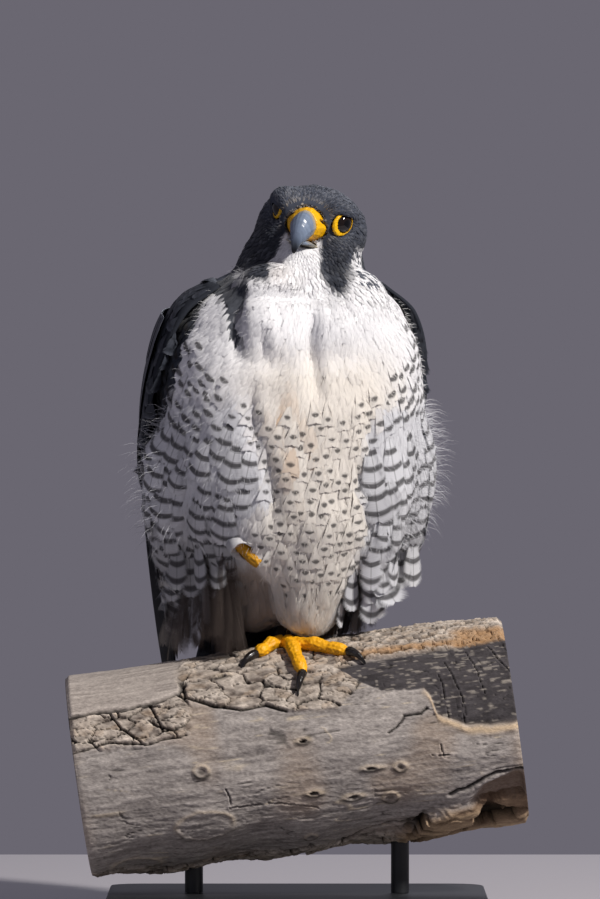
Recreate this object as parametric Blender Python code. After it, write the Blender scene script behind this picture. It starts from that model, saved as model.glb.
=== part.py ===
"""A peregrine falcon at rest on one leg, on a cut length of thick branch held over a plain stand.

Every size is in millimetres and is turned to metres by mm(). X runs to the bird's left, the falcon faces -Y,
and Z is up. The origin is the middle of the underside of the stand's base.
"""

import math

import bmesh
import bpy
import numpy as np
from mathutils import Matrix, Quaternion, Vector

# Clearance between touching pieces
GAP = 0.35

# Stand
BASE_LENGTH = 250.0
BASE_WIDTH = 190.0
BASE_THICKNESS = 12.0
BASE_CORNER = 20.0
ROD_RADIUS = 6.0
ROD_OFFSET = 68.0

# Perch: a thick branch, sloping up to the bird's left
PERCH_RADIUS = 67.0
PERCH_LENGTH = 290.0
PERCH_SLOPE = math.radians(8.0)
PERCH_CENTRE_HEIGHT = 108.0
PERCH_SIDES = 26
PERCH_RINGS = 8
PERCH_TOP = PERCH_CENTRE_HEIGHT + PERCH_RADIUS / math.cos(PERCH_SLOPE)

# Body, measured up from the top of the perch, in a frame turned with the breast
BODY_TURN = math.radians(19.0)
BODY_SHIFT_X = -5.0
BODY_LIFT = 5.0
SECTION_POWER = 2.3
# Height, half width, depth to the front, depth to the back
TORSO_STATIONS = (
    (30.0, 30.0, 20.0, 44.0),
    (46.0, 54.0, 44.0, 58.0),
    (68.0, 72.0, 58.0, 68.0),
    (92.0, 84.0, 66.0, 73.0),
    (124.0, 90.0, 72.0, 74.0),
    (156.0, 90.0, 75.0, 71.0),
    (186.0, 87.0, 73.0, 66.0),
    (208.0, 80.0, 66.0, 58.0),
    (224.0, 70.0, 57.0, 50.0),
    (236.0, 52.0, 47.0, 42.0),
    (244.0, 34.0, 34.0, 32.0),
)
# Hanging bodies of feather, in the frame of the breast: top, bottom, half thickness at each
LOBES = (
    # Flanks on the bird's left
    ((64.0, -10.0, 122.0), (80.0, -16.0, 60.0), 36.0, 6.5),
    ((44.0, -32.0, 106.0), (47.0, -40.0, 40.0), 34.0, 7.0),
    # Flanks on the bird's right
    ((-64.0, 6.0, 112.0), (-76.0, 18.0, 34.0), 38.0, 7.0),
    ((-48.0, -18.0, 108.0), (-54.0, -14.0, 48.0), 36.0, 8.0),
    # Belly and the feathered standing leg
    ((6.0, -32.0, 84.0), (9.0, -15.0, 25.0), 40.0, 25.0),
    # The thigh drawn up on the right
    ((-26.0, -2.0, 62.0), (-20.0, 8.0, 24.0), 32.0, 22.0),
    # Vent and the feathers under the tail
    ((-8.0, 44.0, 66.0), (-14.0, 66.0, 8.0), 34.0, 20.0),
    # Mantle and shoulders
    ((0.0, 34.0, 206.0), (0.0, 42.0, 130.0), 40.0, 34.0),
    ((44.0, 0.0, 214.0), (62.0, 4.0, 180.0), 24.0, 26.0),
    ((-46.0, 0.0, 214.0), (-64.0, 4.0, 180.0), 24.0, 26.0),
    # Neck
    ((10.0, -6.0, 255.0), (7.0, -2.0, 234.0), 38.0, 46.0),
    # The two halves of the breast
    ((27.0, -36.0, 214.0), (30.0, -40.0, 178.0), 32.0, 34.0),
    ((-27.0, -36.0, 214.0), (-30.0, -40.0, 178.0), 32.0, 34.0),
)
LOBE_STEPS = 6

# Head: its centre above the perch, and how it is turned
HEAD_CENTRE = Vector((12.3, -20.0, 279.5))
HEAD_TURN = math.radians(-13.0)
HEAD_ROLL = math.radians(14.0)
EYE_CENTRE = Vector((18.6, -14.2, 3.3))
EYE_RADIUS = 8.2
EYE_SPREAD = math.radians(58.0)
EYE_RING_RADIUS = 6.6
EYE_RING_HALF_WIDTH = 0.85
EYE_RING_FRONT_WIDTH = 0.75
EYE_RING_HALF_DEPTH = 1.5
# How the way in which the ring is widest points to the bill and down, and how far it shifts that way
EYE_RING_WIDE_WAY = (0.8, 0.6)
EYE_RING_SHIFT = 0.5
EYE_RING_HEIGHT = 4.6
EYE_RING_STEPS = (18, 6)

# The left leg's part of the trunk, in the frame of the breast
LEG_BLOCK_LOW = (-40.0, -80.0, -20.0)
LEG_BLOCK_HIGH = (62.0, 20.0, 40.0)
LEG_BLOCK_TILT = math.radians(-8.0)
FLESH_FACES = 1950

# Wing
WING_STATIONS = (
    # share of the length, front edge, back edge
    (0.00, (64.0, -14.0, 235.0), (28.0, 34.0, 238.0)),
    (0.10, (86.0, -14.0, 216.0), (28.0, 56.0, 222.0)),
    (0.25, (97.0, -4.0, 178.0), (22.0, 74.0, 184.0)),
    (0.42, (96.0, 16.0, 130.0), (12.0, 86.0, 136.0)),
    (0.58, (87.0, 34.0, 84.0), (6.0, 93.0, 88.0)),
    (0.72, (76.0, 54.0, 40.0), (4.0, 100.0, 44.0)),
    (0.86, (60.0, 80.0, -10.0), (5.0, 110.0, -6.0)),
    (1.00, (36.0, 114.0, -70.0), (10.0, 124.0, -72.0)),
)
# The wings hang to the bird's right with the tail, the left one more
WING_SWAY = {1: -16.0, -1: -9.0}
WING_BULGE = 19.0
WING_EDGE_DEPTH = 2.5
WING_MIDDLE_DEPTH = 8.0
# The fleshy arm of the wing, under its coverts, ends at this share of the length
ARM_END = 0.50
ARM_LIFT_TOP = 0.5
ARM_LIFT_END = -1.6
# The room kept free for the wing under the flank feathers
WING_ROOM_LIFT = 4.6
WING_ROOM_EDGE = 3.0

VANE_ROOT_THICKNESS = 1.0
VANE_TIP_THICKNESS = 0.6
VANE_CAMBER = 0.5
# Shares of the length, and the share of the full width there
COVERT_OUTLINE = ((0.0, 0.45), (0.35, 0.95), (0.75, 0.92), (1.0, 0.34))
SECONDARY_OUTLINE = ((0.0, 0.40), (0.40, 0.95), (0.82, 0.90), (1.0, 0.30))
QUILL_OUTLINE = ((0.0, 0.40), (0.25, 0.90), (0.60, 1.00), (0.87, 0.80), (1.0, 0.26))
PRIMARY_OUTLINE = ((0.0, 0.55), (0.25, 1.00), (0.60, 0.84), (0.87, 0.52), (1.0, 0.14))

# Tiers of the wing's vanes, from the primaries up to the small coverts:
# name, count, width, outline, share at the root, share at the tip at the front and at the back edge,
# places across the wing at the root and at the tip (front, back), depth of the root, lift of the tip
WING_TIERS = (
    ("primaries", 7, 18.0, PRIMARY_OUTLINE, 0.42, (1.00, 0.70), (0.20, 0.80), (0.40, 0.86), 0.55, -0.6),
    ("secondaries", 8, 19.0, SECONDARY_OUTLINE, 0.35, (0.54, 0.69), (0.16, 0.88), (0.16, 0.88), 0.45, 0.4),
    ("greater_coverts", 8, 18.5, COVERT_OUTLINE, 0.21, (0.40, 0.47), (0.13, 0.90), (0.13, 0.90), 0.40, 1.2),
    ("median_coverts", 7, 20.0, COVERT_OUTLINE, 0.10, (0.25, 0.28), (0.14, 0.88), (0.14, 0.88), 0.30, 1.8),
    ("lesser_coverts", 6, 21.0, COVERT_OUTLINE, 0.02, (0.14, 0.15), (0.18, 0.82), (0.18, 0.82), 0.20, 2.2),
)
# Each vane's front edge rides over the back edge of the one before it
SHINGLE_RISE = 1.7
VANE_VARIATION = 0.05

# Tail
TAIL_ROOT = Vector((-10.0, 66.0, 44.0))
TAIL_TIP = Vector((-18.0, 126.0, -100.0))
TAIL_PAIRS = 6
RECTRIX_WIDTH = 13.0
RECTRIX_STEP_ROOT = 1.1
RECTRIX_STEP_TIP = 4.3
RECTRIX_DROP = 1.45
RECTRIX_ROLL = 0.012
RECTRIX_CAMBER = 0.35
RECTRIX_SHORTER = 0.006
TAIL_PAD = (13.0, 7.0, 30.0)
TAIL_PAD_LIFT = -2.2
# Share of the tail's length, and half width there, of the room kept free for it
TAIL_ROOM = ((-0.20, 15.5), (0.0, 18.5), (0.25, 22.0), (0.6, 28.0), (1.02, 34.0))
TAIL_ROOM_TOP = 5.8
TAIL_ROOM_UNDER = 9.9

# Feet: shares of the way round and along the perch, from the top point under the leg
TOE_RADIUS = 4.8
FOOT_HUB_RADIUS = 7.0
CLAW_RADII = (3.3, 3.1, 2.7, 2.2, 1.7, 1.1, 0.35)
TARSUS_RADIUS = 4.2
# name, start along, start round, end along, end round (radians), claw length, claw's turn (radians)
TOES = (
    ("toe_left_1", 0.5, -0.12, -2.0, -0.42, 19.0, 0.0),
    ("toe_left_2", -1.0, 0.16, -17.5, 0.38, 20.0, 0.0),
    ("toe_left_3", 4.0, 0.20, 11.0, 0.78, 20.0, -0.5),
    ("toe_left_4", 8.0, 0.30, 42.0, 0.57, 18.0, -0.3),
)

COLOURS = {
    "slate": ((0.07, 0.085, 0.11), 0.65),
    "white_plumage": ((0.78, 0.76, 0.72), 0.85),
    "flight_feathers": ((0.05, 0.06, 0.08), 0.5),
    "horn": ((0.22, 0.25, 0.31), 0.3),
    "yellow_skin": ((0.85, 0.52, 0.02), 0.45),
    "eye": ((0.012, 0.008, 0.006), 0.05),
    "claw": ((0.015, 0.016, 0.02), 0.25),
    "bark": ((0.27, 0.23, 0.20), 0.9),
    "stand_steel": ((0.03, 0.03, 0.032), 0.4),
}


def mm(value):
    """Millimetres, as a number or a vector, in metres."""
    return value * 0.001


def material(name):
    """The named material, made on first use."""
    found = bpy.data.materials.get(name)
    if found:
        return found
    colour, roughness = COLOURS[name]
    made = bpy.data.materials.new(name)
    made.use_nodes = True
    shader = made.node_tree.nodes["Principled BSDF"]
    shader.inputs["Base Color"].default_value = (*colour, 1.0)
    shader.inputs["Roughness"].default_value = roughness
    shader.inputs["Metallic"].default_value = 0.0
    return made


def object_of(name, mesh, matrix=Matrix.Identity(4), slot=None):
    """A scene object holding a mesh given in millimetres."""
    mesh.transform(Matrix.Scale(0.001, 4) @ matrix)
    mesh.update()
    made = bpy.data.objects.new(name, mesh)
    bpy.context.scene.collection.objects.link(made)
    if slot:
        made.data.materials.clear()
        made.data.materials.append(material(slot))
    return made


def outward(mesh):
    """Turns every face of a closed mesh to point out."""
    work = bmesh.new()
    work.from_mesh(mesh)
    bmesh.ops.recalc_face_normals(work, faces=work.faces)
    work.to_mesh(mesh)
    work.free()
    return mesh


def loft(rings):
    """A closed mesh through rings of equally many points, each end closed by a fan."""
    count = len(rings[0])
    points = [tuple(p) for ring in rings for p in ring]
    faces = []
    for i in range(len(rings) - 1):
        for k in range(count):
            a, b = i * count + k, i * count + (k + 1) % count
            faces.append((a, b, b + count, a + count))
    for ring, start in ((rings[0], 0), (rings[-1], (len(rings) - 1) * count)):
        middle = sum((Vector(p) for p in ring), Vector()) / count
        points.append(tuple(middle))
        hub = len(points) - 1
        faces += [(start + k, start + (k + 1) % count, hub) for k in range(count)]
    mesh = bpy.data.meshes.new("loft")
    mesh.from_pydata(points, [], faces)
    return outward(mesh)


def ellipsoid(centre, radii, turn=Matrix.Identity(4), segments=24):
    """A closed egg of the given half sizes."""
    work = bmesh.new()
    bmesh.ops.create_uvsphere(work, u_segments=segments, v_segments=segments // 2, radius=1.0)
    shape = Matrix.Translation(Vector(centre)) @ turn @ Matrix.Diagonal((*radii, 1.0))
    bmesh.ops.transform(work, matrix=shape, verts=work.verts)
    mesh = bpy.data.meshes.new("ellipsoid")
    work.to_mesh(mesh)
    work.free()
    return mesh


def joined(meshes):
    """The meshes together in one, not yet fused."""
    work = bmesh.new()
    for mesh in meshes:
        work.from_mesh(mesh)
    made = bpy.data.meshes.new("joined")
    work.to_mesh(made)
    work.free()
    return made


def use(obj, kind, **settings):
    """Adds a modifier with its settings and applies it."""
    modifier = obj.modifiers.new(kind.lower(), kind)
    for key, value in settings.items():
        setattr(modifier, key, value)
    graph = bpy.context.evaluated_depsgraph_get()
    made = bpy.data.meshes.new_from_object(obj.evaluated_get(graph))
    obj.modifiers.remove(modifier)
    old = obj.data
    obj.data = made
    bpy.data.meshes.remove(old)


def keep_largest(obj):
    """Leaves only the largest closed surface of the object."""
    work = bmesh.new()
    work.from_mesh(obj.data)
    left = set(work.verts)
    groups = []
    while left:
        stack = [left.pop()]
        group = set(stack)
        while stack:
            for edge in stack.pop().link_edges:
                for vert in edge.verts:
                    if vert in left:
                        left.discard(vert)
                        group.add(vert)
                        stack.append(vert)
        groups.append(group)
    groups.sort(key=size_of_group, reverse=True)
    loose = [vert for group in groups[1:] for vert in group]
    bmesh.ops.delete(work, geom=loose, context="VERTS")
    work.to_mesh(obj.data)
    work.free()


def size_of_group(group):
    """Diagonal of a group of vertices."""
    low = [min(v.co[i] for v in group) for i in range(3)]
    high = [max(v.co[i] for v in group) for i in range(3)]
    return math.dist(low, high)


def inflated(obj, by=GAP):
    """A helper copy of an object, swollen along its normals."""
    work = bmesh.new()
    work.from_mesh(obj.data)
    work.normal_update()
    moves = [v.normal * mm(by) * min(v.calc_shell_factor(), 2.0) for v in work.verts]
    for vert, move in zip(work.verts, moves):
        vert.co += move
    mesh = bpy.data.meshes.new("inflated")
    work.to_mesh(mesh)
    work.free()
    made = bpy.data.objects.new("inflated", mesh)
    bpy.context.scene.collection.objects.link(made)
    made.hide_render = True
    made.display_type = "WIRE"
    return made


def cut(obj, *others, by=GAP):
    """Cuts the object back from others, leaving the gap that touching pieces keep."""
    for other in others:
        cutter = inflated(other, by)
        # The exact solver drops whole bodies on these many-faced soft forms
        use(obj, "BOOLEAN", operation="DIFFERENCE", object=cutter, solver="MANIFOLD")
        bpy.data.objects.remove(cutter)
    keep_largest(obj)
    for face in obj.data.polygons:
        face.material_index = 0
    return obj


def fuse(name, objects, slot, solver="MANIFOLD"):
    """One closed object from several closed ones."""
    first, rest = objects[0], objects[1:]
    group = bpy.data.collections.new(name)
    for obj in rest:
        group.objects.link(obj)
    use(first, "BOOLEAN", operation="UNION", operand_type="COLLECTION", collection=group, solver=solver)
    for obj in rest:
        bpy.data.objects.remove(obj)
    bpy.data.collections.remove(group)
    first.name = name
    first.data.materials.clear()
    first.data.materials.append(material(slot))
    keep_largest(first)
    return first


def smooth_shaded(obj, angle=math.radians(40.0)):
    """Shades a round piece smooth, apart from its sharp edges."""
    obj.data.shade_smooth()
    obj.data.set_sharp_from_angle(angle=angle)
    return obj


def between(stations, share):
    """Values at a share or height, read smoothly from stations whose first entry is that share."""
    keys = [row[0] for row in stations]
    columns = np.array([np.hstack([np.atleast_1d(v) for v in row[1:]]) for row in stations], float)
    return np.array([smooth_value(keys, columns[:, i], share) for i in range(columns.shape[1])])


def smooth_value(keys, values, at):
    """Cubic Hermite value through the keys, with slopes taken from the neighbours."""
    at = min(max(at, keys[0]), keys[-1])
    i = min(max(int(np.searchsorted(keys, at)) - 1, 0), len(keys) - 2)
    span = keys[i + 1] - keys[i]
    u = (at - keys[i]) / span
    slope_a = slope_at(keys, values, i) * span
    slope_b = slope_at(keys, values, i + 1) * span
    return (
        (2 * u**3 - 3 * u**2 + 1) * values[i]
        + (u**3 - 2 * u**2 + u) * slope_a
        + (3 * u**2 - 2 * u**3) * values[i + 1]
        + (u**3 - u**2) * slope_b
    )


def slope_at(keys, values, i):
    """Slope at key i from the points beside it."""
    low, high = max(i - 1, 0), min(i + 1, len(keys) - 1)
    return (values[high] - values[low]) / (keys[high] - keys[low])


def body_matrix():
    """Frame of the breast: at the perch's top, turned with the body."""
    place = Matrix.Translation((BODY_SHIFT_X, 0.0, PERCH_TOP + BODY_LIFT))
    return place @ Matrix.Rotation(BODY_TURN, 4, "Z")


def head_matrix():
    """Frame of the head: turned to the bird's right and tilted."""
    place = Matrix.Translation(HEAD_CENTRE + Vector((0.0, 0.0, PERCH_TOP)))
    return place @ Matrix.Rotation(HEAD_TURN, 4, "Z") @ Matrix.Rotation(HEAD_ROLL, 4, "Y")


def section(height, half_width, front, back, sides=28):
    """One level ring of the trunk."""
    ring = []
    for k in range(sides):
        angle = 2 * math.pi * k / sides
        c, s = math.cos(angle), math.sin(angle)
        x = half_width * math.copysign(abs(c) ** (2 / SECTION_POWER), c)
        depth = back if s > 0 else front
        y = depth * math.copysign(abs(s) ** (2 / SECTION_POWER), s)
        ring.append(Vector((x, y, height)))
    return ring


def trunk(stations, step=6.0):
    """A loft through the stations' rings."""
    low, high = stations[0][0], stations[-1][0]
    count = max(2, round((high - low) / step))
    heights = np.linspace(low, high, count + 1)
    return loft([section(h, *between(stations, h)) for h in heights])


# Stand and perch


def perch_frame():
    """Axis frame of the perch: its X runs along the branch."""
    return Matrix.Translation((0.0, 0.0, PERCH_CENTRE_HEIGHT)) @ Matrix.Rotation(-PERCH_SLOPE, 4, "Y")


def perch_radius(along, around):
    """Radius of the branch at a place, gently uneven away from the feet."""
    away = min(1.0, max(0.0, (abs(along) - 55.0) / 60.0))
    swell = 1.6 * math.sin(0.021 * along + 1.1) + 1.2 * math.sin(2 * around + 0.03 * along)
    ragged = 1.8 * max(0.0, -math.cos(around)) * math.sin(3 * around + 0.08 * along)
    return PERCH_RADIUS + away * swell + ragged


def perch_point(along, around, height):
    """A point above the branch: around is 0 at the top and grows to the front."""
    local = Vector((along, -math.sin(around) * height, math.cos(around) * height))
    return perch_frame() @ local


def make_perch():
    """The cut branch, with flat ends."""
    rings = []
    for along in np.linspace(-PERCH_LENGTH / 2, PERCH_LENGTH / 2, PERCH_RINGS):
        ring = []
        for k in range(PERCH_SIDES):
            around = 2 * math.pi * k / PERCH_SIDES
            ring.append(perch_point(along, around, perch_radius(along, around)))
        rings.append(ring)
    return smooth_shaded(object_of("perch", loft(rings), slot="bark"))


def make_stand(perch):
    """Base plate with rounded corners, and two rods up to the branch."""
    outline = []
    for cx, cy, start in ((1, 1, 0), (-1, 1, 90), (-1, -1, 180), (1, -1, 270)):
        for step in range(5):
            angle = math.radians(start + step * 22.5)
            x = cx * (BASE_LENGTH / 2 - BASE_CORNER) + BASE_CORNER * math.cos(angle)
            y = cy * (BASE_WIDTH / 2 - BASE_CORNER) + BASE_CORNER * math.sin(angle)
            outline.append(Vector((x, y, 0.0)))
    top = Vector((0.0, 0.0, BASE_THICKNESS))
    base = object_of("stand_base", loft([outline, [p + top for p in outline]]), slot="stand_steel")
    for name, side in (("stand_rod_right", -1), ("stand_rod_left", 1)):
        rings = []
        for height in (BASE_THICKNESS + GAP, PERCH_CENTRE_HEIGHT - PERCH_RADIUS / 2):
            rings.append(
                [
                    Vector(
                        (
                            side * ROD_OFFSET + ROD_RADIUS * math.cos(2 * math.pi * k / 16),
                            ROD_RADIUS * math.sin(2 * math.pi * k / 16),
                            height,
                        )
                    )
                    for k in range(16)
                ]
            )
        rod = object_of(name, loft(rings), slot="stand_steel")
        cut(rod, perch)
        smooth_shaded(rod)
    return base


# Trunk, neck and head


def flesh_mesh():
    """Trunk, neck and head as overlapping closed eggs and lofts, in millimetres."""
    body, head = body_matrix(), head_matrix()
    body_parts = [trunk(TORSO_STATIONS)]
    for top, bottom, wide, narrow in LOBES:
        for step in range(LOBE_STEPS):
            share = step / (LOBE_STEPS - 1)
            middle = Vector(top).lerp(Vector(bottom), share)
            radius = wide + (narrow - wide) * share**1.3
            body_parts.append(ellipsoid(middle, (radius, radius * 0.86, radius), segments=20))
    for mesh in body_parts:
        mesh.transform(body)
    head_parts = [
        # Skull and crown
        ellipsoid((0, 5, 0), (32.0, 34, 24.5)),
        # Brows
        ellipsoid((17.5, -11, 11.0), (13.0, 16, 8.0), Matrix.Rotation(math.radians(-16), 4, "Z")),
        ellipsoid((-19.5, -11, 10.5), (15.0, 17, 9.5), Matrix.Rotation(math.radians(16), 4, "Z")),
        # Feathers over the ears
        ellipsoid((18, 9, -5), (17, 22, 22)),
        ellipsoid((-18, 9, -5), (17, 22, 22)),
        # Cheeks
        ellipsoid((17, -3, -16), (16, 21, 18)),
        ellipsoid((-17, -3, -16), (16, 21, 18)),
        # Root of the bill
        ellipsoid((0, -18, -4), (14.0, 12, 12)),
        # Chin and throat
        ellipsoid((0, -14, -26), (20, 18, 17)),
        # Nape
        ellipsoid((2, 14, -24), (30, 24, 30)),
    ]
    for mesh in head_parts:
        mesh.transform(head)
    return joined(body_parts + head_parts)


def slab_half(source, name, planes, slot):
    """A copy of the source kept on the inner side of each plane and closed there."""
    work = bmesh.new()
    work.from_mesh(source.data)
    for point, normal in planes:
        geometry = list(work.verts) + list(work.edges) + list(work.faces)
        cut_faces = bmesh.ops.bisect_plane(
            work, geom=geometry, plane_co=mm(point), plane_no=normal, clear_outer=True, dist=1e-7
        )
        rim = [e for e in cut_faces["geom_cut"] if isinstance(e, bmesh.types.BMEdge)]
        bmesh.ops.edgeloop_fill(work, edges=rim)
    bmesh.ops.triangulate(work, faces=work.faces)
    bmesh.ops.recalc_face_normals(work, faces=work.faces)
    mesh = bpy.data.meshes.new(name)
    work.to_mesh(mesh)
    work.free()
    made = bpy.data.objects.new(name, mesh)
    bpy.context.scene.collection.objects.link(made)
    made.data.materials.append(material(slot))
    keep_largest(made)
    return smooth_shaded(made)


def leg_block(by=0.0):
    """The region of the left leg: a block under the breast, as a cutter grown by a little."""
    low = Vector(LEG_BLOCK_LOW) - Vector((by, by, by))
    high = Vector(LEG_BLOCK_HIGH) + Vector((by, by, by))
    rings = []
    for height in (low.z, high.z):
        rings.append(
            [
                Vector((low.x, low.y, height)),
                Vector((high.x, low.y, height)),
                Vector((high.x, high.y, height)),
                Vector((low.x, high.y, height)),
            ]
        )
    tilt = Matrix.Translation(high) @ Matrix.Rotation(LEG_BLOCK_TILT, 4, "X") @ Matrix.Translation(-high)
    block = object_of("leg_block", loft(rings), body_matrix() @ tilt)
    block.hide_render = True
    block.display_type = "WIRE"
    return block


def make_flesh(perch):
    """Head, neck, torso and leg, parted by thin cuts."""
    whole = object_of("flesh", flesh_mesh())
    use(whole, "REMESH", mode="VOXEL", voxel_size=mm(3.0))
    use(whole, "SMOOTH", factor=0.5, iterations=5)
    below = whole.vertex_groups.new(name="body")
    below.add([v.index for v in whole.data.vertices if v.co.z < mm(PERCH_TOP + 236.0)], 1.0, "REPLACE")
    use(whole, "SMOOTH", factor=0.5, iterations=14, vertex_group="body")
    whole.vertex_groups.clear()
    use(whole, "DECIMATE", ratio=FLESH_FACES / (2 * len(whole.data.polygons)))
    cut(whole, perch, by=2 * GAP)
    head, body = head_matrix(), body_matrix()
    head_cut = head @ Vector((0.0, 0.0, -30.0))
    head_up = (head.to_3x3() @ Vector((0.0, 0.0, 1.0)) + Vector((0.0, 0.0, 1.0))).normalized()
    neck_cut = body @ Vector((0.0, 0.0, 226.0))
    up = Vector((0.0, 0.0, 1.0))
    half_gap = GAP / 2
    head_node = slab_half(whole, "head", [(head_cut + head_up * half_gap, -head_up)], "slate")
    neck_node = slab_half(
        whole,
        "neck",
        [(head_cut - head_up * half_gap, head_up), (neck_cut + up * half_gap, -up)],
        "white_plumage",
    )
    trunk_node = slab_half(whole, "torso", [(neck_cut - up * half_gap, up)], "white_plumage")
    leg_node = trunk_node.copy()
    leg_node.data = trunk_node.data.copy()
    leg_node.name = "leg_left"
    bpy.context.scene.collection.objects.link(leg_node)
    for node, operation, by in ((leg_node, "INTERSECT", 0.0), (trunk_node, "DIFFERENCE", GAP)):
        block = leg_block(by)
        use(node, "BOOLEAN", operation=operation, object=block, solver="MANIFOLD")
        bpy.data.objects.remove(block)
        keep_largest(node)
        smooth_shaded(node)
    bpy.data.objects.remove(whole)
    return head_node, neck_node, trunk_node, leg_node


# Face


def eye_matrix(side):
    """Frame of one eye, its Z along the line of sight. side is 1 for the bird's left."""
    centre = Vector((side * EYE_CENTRE.x, EYE_CENTRE.y, EYE_CENTRE.z))
    aim = Matrix.Rotation(side * EYE_SPREAD, 4, "Z") @ Matrix.Rotation(math.radians(90.0), 4, "X")
    return head_matrix() @ Matrix.Translation(centre) @ aim


def make_eye(side, name):
    """The eyeball."""
    ball = ellipsoid((0, 0, 0), (EYE_RADIUS,) * 3, segments=16)
    return smooth_shaded(object_of(name, ball, eye_matrix(side), slot="eye"))


def make_eye_ring(side, name, head, eye):
    """The bare yellow lids round the eye, lying on the face."""
    rings = []
    around_steps, rim_steps = EYE_RING_STEPS
    for k in range(around_steps):
        around = 2 * math.pi * k / around_steps
        # Wider towards the bill and below
        way = Vector((math.cos(around), math.sin(around), 0.0))
        frontward = max(0.0, -side * EYE_RING_WIDE_WAY[0] * way.x - EYE_RING_WIDE_WAY[1] * way.y)
        wide = EYE_RING_HALF_WIDTH + EYE_RING_FRONT_WIDTH * frontward
        reach = EYE_RING_RADIUS + EYE_RING_SHIFT * frontward
        ring = []
        for j in range(rim_steps):
            turn = 2 * math.pi * j / rim_steps
            height = EYE_RING_HEIGHT + EYE_RING_HALF_DEPTH * math.sin(turn)
            ring.append(way * (reach + wide * math.cos(turn)) + Vector((0, 0, height)))
        rings.append(ring)
    points = [tuple(p) for ring in rings for p in ring]
    faces = []
    for i in range(around_steps):
        here, there = i * rim_steps, ((i + 1) % around_steps) * rim_steps
        for j in range(rim_steps):
            following = (j + 1) % rim_steps
            faces.append((here + j, here + following, there + following, there + j))
    mesh = bpy.data.meshes.new(name)
    mesh.from_pydata(points, [], faces)
    ring_node = object_of(name, outward(mesh), eye_matrix(side), slot="yellow_skin")
    cut(ring_node, eye)
    cut(head, ring_node)
    return smooth_shaded(ring_node)


def bill_ring(y, half_width, top, bottom, sides=14, keel=0.0):
    """One upright ring of the bill, narrower to the ridge."""
    ring = []
    middle, half = (top + bottom) / 2, (top - bottom) / 2
    for k in range(sides):
        angle = 2 * math.pi * k / sides
        c, s = math.cos(angle), math.sin(angle)
        narrow = 1.0 - 0.22 * max(0.0, s)
        ring.append(Vector((half_width * c * narrow, y - keel * s, middle + half * s)))
    return ring


def make_bill(head, eyes):
    """Cere with nostrils, hooked upper bill and the lower bill under it."""
    frame = head_matrix()
    cere_rings = [
        bill_ring(-14.0, 15.0, 7.0, -14.4),
        bill_ring(-21.0, 14.2, 8.6, -14.4),
        bill_ring(-26.5, 12.2, 8.6, -14.2),
        bill_ring(-31.5, 9.3, 6.8, -13.6),
    ]
    cere = object_of("cere", loft(cere_rings), frame, slot="yellow_skin")
    for side in (1, -1):
        pit = object_of("pit", ellipsoid((side * 10.8, -27.0, 1.6), (2.4, 1.5, 1.8), segments=12), frame)
        use(cere, "BOOLEAN", operation="DIFFERENCE", object=pit, solver="EXACT")
        bpy.data.objects.remove(pit)
    cut(cere, *eyes)
    cut(head, cere)
    smooth_shaded(cere)
    # Along the bill: forward, half width, ridge height, edge height, lean of the ring
    upper_rings = [
        bill_ring(-31.5 - GAP, 9.0, 6.6, -13.6),
        bill_ring(-35.5, 8.0, 4.4, -14.0, keel=0.8),
        bill_ring(-38.6, 6.8, 1.2, -14.6, keel=1.6),
        bill_ring(-40.6, 5.4, -3.4, -15.2, keel=2.0),
        bill_ring(-41.8, 3.9, -8.4, -16.6, keel=1.6),
        bill_ring(-42.0, 2.3, -13.2, -19.2, keel=0.9),
        bill_ring(-41.0, 0.9, -18.2, -22.8, keel=0.3),
    ]
    upper = object_of("bill_upper", loft(upper_rings), frame, slot="horn")
    cut(upper, cere)
    smooth_shaded(upper)
    lower_rings = [
        bill_ring(-14.0, 14.0, -12.0, -16.8),
        bill_ring(-22.0, 12.2, -13.8, -17.4),
        bill_ring(-30.0, 8.9, -14.0, -17.8),
        bill_ring(-35.0, 5.6, -14.6, -17.6),
        bill_ring(-37.2, 2.8, -15.4, -17.2),
    ]
    lower = object_of("bill_lower", loft(lower_rings), frame, slot="horn")
    cut(lower, cere, upper, *eyes)
    cut(head, lower)
    smooth_shaded(lower)


# Wings and tail


def wing_point(share, across, lift=0.0, side=1):
    """A point of the folded wing's outer face: share runs down it, across from its front to its back edge."""
    row = between(WING_STATIONS, share)
    front, back = Vector(row[:3]), Vector(row[3:])
    chord = back - front
    along = Vector((0.0, 0.45, -0.9)).normalized()
    out = along.cross(chord).normalized()
    if out.x + out.y < 0:
        out = -out
    bulge = WING_BULGE * (chord.length / 90.0) * 4 * across * (1 - across)
    point = front + chord * across + out * (bulge + lift)
    sway = WING_SWAY[side] * max(0.0, share - 0.2) ** 1.2
    return Vector((side * point.x + sway, point.y, point.z))


def wing_depth(across):
    """Thickness of the arm of the wing at a place across it."""
    swell = math.sin(math.pi * min(max(across, 0), 1))
    return WING_EDGE_DEPTH + (WING_MIDDLE_DEPTH - WING_EDGE_DEPTH) * swell


def wing_loft(side, shares, lift_of, grow):
    """A closed form that follows the wing, with the given outer lift, grown by a little all round."""
    rings = []
    for share in shares:
        chord = (wing_point(share, 1.0) - wing_point(share, 0.0)).length
        spread = grow / chord
        acrosses = np.linspace(-spread, 1.0 + spread, 10)
        outer = [wing_point(share, a, lift_of(share), side) for a in acrosses]
        inner = [wing_point(share, a, -wing_depth(a) - grow * 0.2, side) for a in acrosses[::-1]]
        rings.append(outer + inner)
    return loft(rings)


def arm_lift(share):
    """Height of the arm's outer face over the wing's nominal surface."""
    return ARM_LIFT_TOP + (ARM_LIFT_END - ARM_LIFT_TOP) * share / ARM_END


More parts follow.
